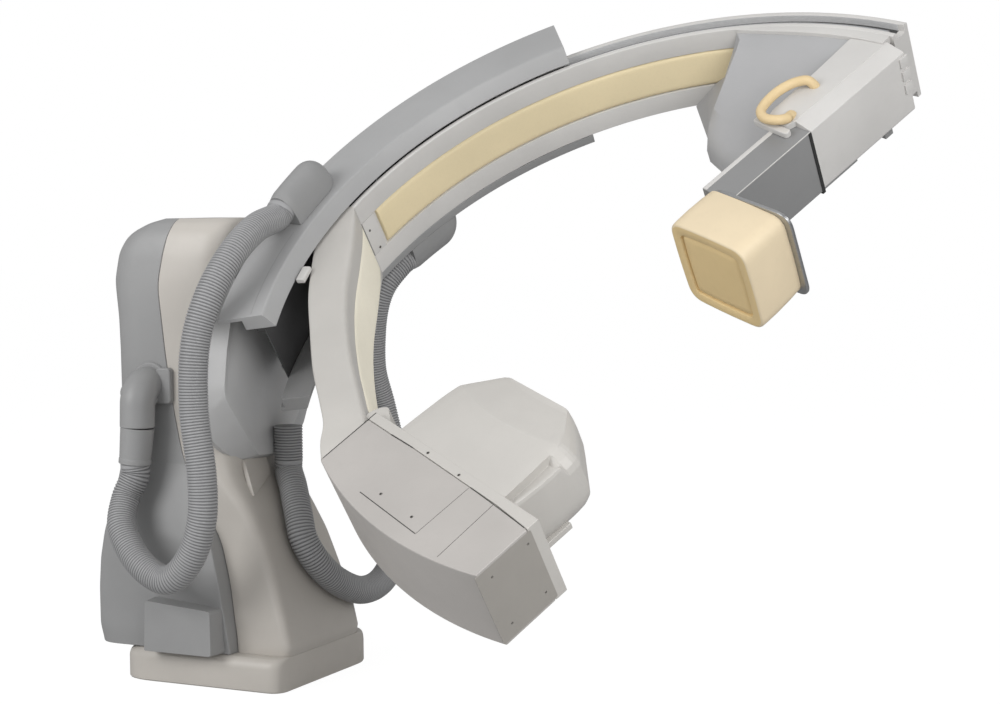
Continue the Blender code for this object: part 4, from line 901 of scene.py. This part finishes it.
housing = {
    "right": 0.3645, "seamGap": 0.0012,
    "baseTop": [(0.3645, -0.831), (0.290, -0.829), (-0.262, -0.8115), (-0.332, -0.8105)],
    "stations": [  # along, left, near right corner, side, recess, half width, far corner
        (-0.838, -0.222, 0.226, 0.268, 1.0, 1.000, 0.090), (-0.812, -0.221, 0.226, 0.270, 1.0, 1.000, 0.095),
        (-0.740, -0.217, 0.224, 0.276, 1.0, 1.000, 0.105), (-0.672, -0.212, 0.220, 0.276, 1.0, 1.000, 0.110),
        (-0.654, -0.210, 0.219, 0.275, 0.0, 1.000, 0.110), (-0.628, -0.206, 0.217, 0.272, 0.0, 0.998, 0.110),
        (-0.616, -0.204, 0.213, 0.268, 0.0, 0.990, 0.110), (-0.604, -0.199, 0.206, 0.262, 0.0, 0.966, 0.106),
        (-0.560, -0.177, 0.166, 0.206, 0.0, 0.872, 0.092), (-0.520, -0.157, 0.127, 0.155, 0.0, 0.790, 0.075),
        (-0.500, -0.146, 0.108, 0.128, 0.0, 0.750, 0.060), (-0.493, -0.138, 0.098, 0.114, 0.0, 0.725, 0.050)],
    # the crease across the near face: where it lies along the beam, at places across it
    "creaseAcross": [-0.203, -0.130, -0.047, 0.070, 0.184, 0.216],
    "creaseAlong": [-0.606, -0.628, -0.642, -0.641, -0.629, -0.617],
    "creaseMean": 0.622, "ridge": 0.0009, "ridgeWide": 0.0035, "faceSet": 0.0012, "edgeSet": 0.0025,
    # the right side's six points as (share of the side's width, set in from the side, drop from the near face)
    "grooved": [(0, 0.002, 0.028), (1, -0.015, 0.028), (1, -0.0130, 0.0095), (1, -0.003, 0.0095), (1, 0, 0.018),
                (1, 0, 0.060)],
    "plain": [(0, 0.003, 0.006), (0.50, 0, 0.018), (0.70, 0, 0.027), (0.88, 0, 0.037), (1, 0, 0.055),
              (1, 0, 0.080)],
    "corners": [0.002, 0.002, 0.001, 0.001, 0.003, 0.01, 0.05, 0.03, 0.016],
    "ledge": [(0.245, -0.828), (0.2735, -0.828), (0.2740, -0.700), (0.245, -0.700)], "ledgeDepth": (-0.075, -0.055),
}


def makeHousing():
    half, across = arcSize["half"], 24
    # base: its near edge follows the seam with the box, and its ledge shows at the right
    places = np.linspace(tubeBox["start"] + gap, housing["right"], 40)
    base = np.vstack([np.column_stack([places, boxSeam(places) + housing["seamGap"]]), housing["baseTop"]])
    facePlate("housingLip", base, -half, half, "tube", bevel=(0.0022, 3), replaces=("housing_base",),
              slot="arc_shell")
    stations = np.array(housing["stations"])
    read = np.unique(np.concatenate([stations[:, 0], np.linspace(-0.838, -0.690, 12),
                                     np.linspace(-0.690, -0.654, 12), np.linspace(-0.654, -0.590, 34),
                                     np.linspace(-0.590, -0.493, 24)]))
    table = np.stack([np.interp(read, stations[:, 0], stations[:, k]) for k in range(1, 7)], axis=1)
    grooved, plain = np.array(housing["grooved"]), np.array(housing["plain"])
    rings = []
    for along, (left, corner, side, recess, share, farCorner) in zip(read, table):
        near = half * share
        # the near face narrows by the distance past the crease, with a fine ridge along it
        place = left + (corner - left) * np.linspace(0, 1, across)
        past = along - softly(place, housing["creaseAcross"], housing["creaseAlong"], 0.05)
        face = half * softly(past - housing["creaseMean"], stations[:, 0], stations[:, 5], 0.006)
        face += housing["ridge"] * np.exp(-(past / housing["ridgeWide"]) ** 2) - housing["faceSet"]
        face[[0, -1]] -= housing["edgeSet"]
        right = [np.column_stack([corner + (side - corner) * s[:, 0] + s[:, 1], near - s[:, 2]])
                 for s in (plain, grooved)]
        plan = np.vstack([np.column_stack([place, face]), right[0] + (right[1] - right[0]) * recess,
                          [(side, -0.35 * near), (side - 0.9 * farCorner, -near), (left, -near)]])
        plan = roundCorners(plan, [0.0] * across + housing["corners"], 5)
        rings.append(beamSpot(plan[:, 0], along, plan[:, 1]))
    gridMesh("housingShell", np.stack(rings), "tube", "arc", sharp=35, replaces=("tube_housing",),
             slot="arc_shell")
    # ledge low on the housing's right side
    facePlate("footLedge", housing["ledge"], *housing["ledgeDepth"], "tube", bevel=(0.003, 2))


makeTubeBox()
makeHousing()
print("tube end made")

# ---- detector end
carriage = {
    # (across, depth): square at the left, a wide chamfer at the near right, a small one at the far right
    "section": [(-0.205, -0.119), (-0.104, -0.119), (-0.079, -0.100), (-0.079, 0.1125), (-0.137, 0.1300),
                (-0.205, 0.1300)],
    "corners": [0.004, 0.006, 0.006, 0.003, 0.003, 0.002], "low": 0.6985, "high": 1.118,
    # the near plate reaches further left and lower than the box behind it
    "plate": [(-0.2055, 1.095), (-0.257, 1.084), (-0.246, 0.930), (-0.240, 0.800), (-0.238, 0.700),
              (-0.215, 0.668), (-0.150, 0.666), (-0.1375, 0.6990), (-0.1375, 1.100)],
    "plateCorners": [0.002, 0.004, 0.02, 0.02, 0.03, 0.02, 0.014, 0.002, 0.002], "plateDepth": (0.1105, 0.1312),
    "clips": [0.086, 0.038, -0.010], "clipSides": (-0.0815, -0.0725), "clipHalf": 0.017, "clipEnds": (1.090, 1.1235),
    "connector": (-0.112, -0.090, 0.985, 1.020), "connectorDepth": (-0.129, -0.112),
    "mouth": (-0.2045, -0.0795, -0.1185, 0.110), "mouthEnds": (0.6885, 0.6990),
}


def makeCarriage():
    section = roundCorners(carriage["section"], carriage["corners"], 4)
    beamBar("carriageShell", section, carriage["low"], carriage["high"], "light", "arc", bevel=(0.003, 3),
            replaces=("carriage_cover",), slot="arc_shell")
    facePlate("nearPlate", roundCorners(carriage["plate"], carriage["plateCorners"], 5), *carriage["plateDepth"],
              "light", bevel=(0.003, 3), replaces=("end_cover_near",), slot="arc_shell")
    for number, depth in enumerate(carriage["clips"]):
        clip = rectangle(*carriage["clipSides"], depth - carriage["clipHalf"], depth + carriage["clipHalf"])
        beamBar("endClip%d" % number, roundCorners(clip, 0.002, 3), *carriage["clipEnds"], "light", "arc",
                bevel=(0.0025, 2))
    connector = roundCorners(rectangle(*carriage["connector"]), 0.003, 3)
    facePlate("farConnector", connector, *carriage["connectorDepth"], "slide", bevel=(0.0015, 2))


fairing = {
    "start": [104.8, 102.2, 100.6, 99.0, 97.4, 96.8, 96.2, 95.6, 95.2], "end": 100.35,
    "depth": [-0.1365, -0.090, -0.060, -0.040, -0.010, 0.030, 0.070, 0.100, 0.1225],
    "share": [0.0, 0.0, 0.03, 0.09, 0.23, 0.46, 0.70, 0.88, 1.0], "radius": 1.1494,
    "deep": [(-0.2056, 0.605), (-0.440, 0.628), (-0.530, 0.655), (-0.566, 0.700)],
    "shallow": [(-0.2056, 0.990), (-0.340, 1.045), (-0.470, 1.000), (-0.590, 0.940)],
    "lipDegrees": [69.6, 76, 84, 90, 94, 95.2], "lipRadius": [1.112, 1.116, 1.1215, 1.129, 1.142, 1.148],
    "lipDepth": (0.1120, 0.1362),
}


def makeFairing():
    # outlines across and along the beam that go from deep to shallow by the share of each depth
    deep, shallow = np.array(fairing["deep"]), np.array(fairing["shallow"])
    rings = []
    for start, depth, share in zip(fairing["start"], fairing["depth"], fairing["share"]):
        turn = np.radians(np.linspace(start, fairing["end"] - math.degrees(beamTurn), 24)) + beamTurn
        arc = np.column_stack([np.cos(turn), np.sin(turn)]) * fairing["radius"]
        outline = np.vstack([arc, deep + (shallow - deep) * share])
        rings.append(beamSpot(outline[:, 0], outline[:, 1], depth))
    gridMesh("fairingShell", np.stack(rings), "fairing", "arc", sharp=40, replaces=("fairing",),
             slot="fairing_shell", bevel=(0.002, 2))
    # the arc's near lip widens over the fairing towards the end
    degrees = np.linspace(fairing["lipDegrees"][0], fairing["lipDegrees"][-1], 60)
    inside = softly(degrees, fairing["lipDegrees"], fairing["lipRadius"], 0.8)
    lips = [roundCorners(rectangle(r, fairing["radius"], *fairing["lipDepth"]), [0.001, 0.0005, 0.0005, 0.003], 4)
            for r in inside]
    rings = [ringSpot(lip[:, 0], a, lip[:, 1]) for a, lip in zip(degrees, lips)]
    gridMesh("cornerLip", np.stack(rings), "light", "arc")


detector = {
    "slide": (-0.1965, -0.0825, -0.1105, 0.1105), "slideLow": 0.3526, "slideHigh": 0.850,
    "strip": (-0.1971, -0.1815, 0.1065, 0.1119), "edge": (-0.0847, -0.0820, 0.1083, 0.1110),
    "stripInset": 0.002, "stripHigh": 0.846,
    # (along, half size, corner) from the back to the rim, then over the front and into its groove
    "rings": [(0.3405, 0.1440, 0.040), (0.30, 0.1475, 0.042), (0.24, 0.1510, 0.046), (0.19, 0.1520, 0.048),
              (0.1755, 0.1516, 0.048), (0.1715, 0.1502, 0.047), (0.1698, 0.1480, 0.046),
              (0.1692, 0.1455, 0.044), (0.1692, 0.1190, 0.026), (0.1700, 0.1180, 0.025),
              (0.1790, 0.1174, 0.024), (0.1798, 0.1160, 0.022), (0.1790, 0.1130, 0.018),
              (0.1738, 0.1090, 0.014), (0.1722, 0.0900, 0.010)],
    "bulge": 0.0045, "bulgeCorner": 0.06, "leftOpen": 0.10, "openFrom": 0.175, "openOver": 0.165,
    "frontPlane": 0.16935, "frontPanel": 0.1187,
    "plate": [(-0.1420, -0.1500), (0.1640, -0.1500), (0.1640, 0.1540), (0.030, 0.1500), (-0.1420, 0.1380)],
    "plateCorners": [0.045, 0.045, 0.05, 0.10, 0.04], "plateEnds": (0.3410, 0.3523),
}


def makeDetector():
    low, high = detector["slideLow"] + detector["stripInset"], detector["stripHigh"]
    beamBar("slideShell", roundCorners(rectangle(*detector["slide"]), 0.003, 3), detector["slideLow"],
            detector["slideHigh"], "slide", "detector", replaces=("slide_box",), slot="slide_alloy",
            bevel=(0.002, 2))
    beamBar("slideStrip", roundCorners(rectangle(*detector["strip"]), 0.0012, 2), low, high, "light", "detector")
    beamBar("slideEdge", roundCorners(rectangle(*detector["edge"]), 0.0006, 2), low, high, "light", "detector")
    rings = []
    for along, size, corner in detector["rings"]:
        # a square whose sides bow outwards by the bulge; its left side opens towards the back
        flat = size - detector["bulge"]
        plan = roundCorners([(-flat, -flat), (0, -size), (flat, -flat), (size, 0), (flat, flat), (0, size),
                             (-flat, flat), (-size, 0)], [corner, detector["bulgeCorner"]] * 4, 8)
        wide = 1 + detector["leftOpen"] * np.clip((along - detector["openFrom"]) / detector["openOver"], 0, 1)
        plan[:, 0] = np.where(plan[:, 0] < 0, plan[:, 0] * wide, plan[:, 0])
        rings.append(beamSpot(plan[:, 0], along, plan[:, 1]))
    shell = gridMesh("detectorShell", np.stack(rings), "beige", "detector", sharp=50,
                     replaces=("detector_housing", "detector_window"), slot="beige_shell")
    # the front has its own, browner finish: its plane, and all that lies within the groove
    shell.data.materials.append(paints["beigeDark"])
    centres = np.empty(len(shell.data.polygons) * 3, np.float32)
    shell.data.polygons.foreach_get("center", centres)
    fromIso = centres.reshape(-1, 3) - iso
    along = fromIso @ beamUp
    out = np.maximum(np.abs(fromIso @ beamAcross), np.abs(fromIso @ ringFace))
    front = (along < detector["frontPlane"]) | ((out < detector["frontPanel"]) & (along < 0.2))
    shell.data.polygons.foreach_set("material_index", front.astype(np.int32))
    plate = roundCorners(detector["plate"], detector["plateCorners"], 8)
    beamBar("backPlate", plate, *detector["plateEnds"], "plate", "detector", bevel=(0.003, 3),
            replaces=("detector_backing",), slot="alloy")
    # painted shade: a dark band round the slide box at the carriage's mouth, standing for the shadow in the gap there
    beamBar("carriageMouthShade", roundCorners(rectangle(*carriage["mouth"]), 0.004, 3), *carriage["mouthEnds"],
            "band", "arc")


handle = {
    "radius": 0.0150, "face": 0.1193,
    # (across, along, lift off the face)
    "loop": [(-0.198, 0.856, 0.004), (-0.199, 0.853, 0.016), (-0.214, 0.842, 0.036), (-0.243, 0.812, 0.036),
             (-0.257, 0.765, 0.036), (-0.255, 0.712, 0.036), (-0.240, 0.668, 0.036), (-0.208, 0.648, 0.036),
             (-0.172, 0.654, 0.036), (-0.156, 0.682, 0.026), (-0.166, 0.712, 0.014), (-0.172, 0.722, 0.004)],
    "bracket": [(-0.262, 0.645), (-0.122, 0.640), (-0.122, 0.6640), (-0.240, 0.6660), (-0.262, 0.676)],
    "bracketDepth": (0.110, 0.1300),
}


def makeHandle():
    across, along, depth = smoothLine(np.array(handle["loop"]) + [0, 0, handle["face"]], 0.004).T
    tubeMesh("gripLoop", beamSpot(across, along, depth), handle["radius"], (0.2, 0.9, 0.3), "grip", "arc",
             around=24, sharp=180, replaces=("grip_handle",), slot="beige_shell")
    facePlate("gripBracket", roundCorners(handle["bracket"], 0.010, 5), *handle["bracketDepth"], "light",
              bevel=(0.007, 4), replaces=("handle_bracket",), slot="alloy")


makeCarriage()
makeFairing()
makeDetector()
makeHandle()
print("detector end made")

# ---- CAD nodes that stay: mostly inside, each with its own finish
carried = {
    "iron": ("floor_plate", "column_casting", "bearing_housing", "propeller_motor", "collimator"),
    "steel": ("guide_roller_upper_near", "guide_roller_upper_far", "guide_roller_lower_near",
              "guide_roller_lower_far", "roller_axle_upper_near", "roller_axle_upper_far",
              "roller_axle_lower_near", "roller_axle_lower_far", "lift_screw", "xray_tube"),
    "sleeve": ("sleeve_end_plate",),
    "beigeDark": ("flat_panel",),
}
for paint, names in carried.items():
    for name in names:
        mesh = nodes[name].data
        mesh.materials.clear()
        mesh.materials.append(paints[paint])


# ---- light and floor
studio = {
    "world": 0.42, "floor": 0.52, "glow": 1.19, "glowShare": 0.80, "floorSize": 30, "floorLevel": -0.0006,
    "aim": (0.9, 0.0, 1.1),
    "lamps": (("keyLight", (-2.0, -4.7, 3.1), 3.0, 158), ("fillLight", (4.4, -2.6, 2.7), 3.0, 136),
              ("topLight", (1.0, 0.6, 4.8), 3.0, 10)),  # name, place, size in metres, watts
}


def makeStudio():
    scene = bpy.context.scene
    scene.view_settings.view_transform = "Standard"
    world = bpy.data.worlds.new("studio")
    scene.world = world
    world.use_nodes = True
    tree = world.node_tree
    tree.nodes.clear()
    path = tree.nodes.new("ShaderNodeLightPath")
    seen = tree.nodes.new("ShaderNodeMath")
    seen.operation = "MAXIMUM"
    tree.links.new(path.outputs["Is Camera Ray"], seen.inputs[0])
    tree.links.new(path.outputs["Is Transmission Ray"], seen.inputs[1])
    plain = tree.nodes.new("ShaderNodeBackground")
    plain.inputs["Color"].default_value = (0.985, 0.99, 1.0, 1)
    plain.inputs["Strength"].default_value = studio["world"]
    white = tree.nodes.new("ShaderNodeBackground")
    white.inputs["Color"].default_value = (1, 1, 1, 1)
    white.inputs["Strength"].default_value = 1.0
    mixed = tree.nodes.new("ShaderNodeMixShader")
    tree.links.new(seen.outputs[0], mixed.inputs[0])
    tree.links.new(plain.outputs[0], mixed.inputs[1])
    tree.links.new(white.outputs[0], mixed.inputs[2])
    output = tree.nodes.new("ShaderNodeOutputWorld")
    tree.links.new(mixed.outputs[0], output.inputs[0])

    for name, spot, size, power in studio["lamps"]:
        data = bpy.data.lights.new(name, "AREA")
        data.size = size
        data.energy = power
        lamp = bpy.data.objects.new(name, data)
        scene.collection.objects.link(lamp)
        lamp.location = spot
        aim = Vector(studio["aim"]) - Vector(spot)
        lamp.rotation_euler = aim.to_track_quat("-Z", "Y").to_euler()

    floor = bpy.data.meshes.new("studioFloor")
    wide, level = studio["floorSize"], studio["floorLevel"]
    floor.from_pydata([(-wide, -wide, level), (wide, -wide, level), (wide, wide, level), (-wide, wide, level)], [],
                      [(0, 1, 2, 3)])
    ground = bpy.data.objects.new("studioFloor", floor)
    scene.collection.objects.link(ground)
    surface = Surface("floorWhite")
    surface.shader.inputs["Base Color"].default_value = (studio["floor"],) * 3 + (1,)
    surface.shader.inputs["Roughness"].default_value = 0.8
    glow = surface.tree.nodes.new("ShaderNodeEmission")
    glow.inputs["Strength"].default_value = studio["glow"]
    path = surface.tree.nodes.new("ShaderNodeLightPath")
    share = Value(surface, path.outputs["Is Camera Ray"]) * studio["glowShare"]
    both = surface.tree.nodes.new("ShaderNodeMixShader")
    surface.tree.links.new(share.socket, both.inputs[0])
    surface.tree.links.new(surface.shader.outputs[0], both.inputs[1])
    surface.tree.links.new(glow.outputs[0], both.inputs[2])
    surface.tree.links.new(both.outputs[0], surface.tree.nodes["Material Output"].inputs[0])
    floor.materials.append(surface.material)


makeStudio()
print("studio made")
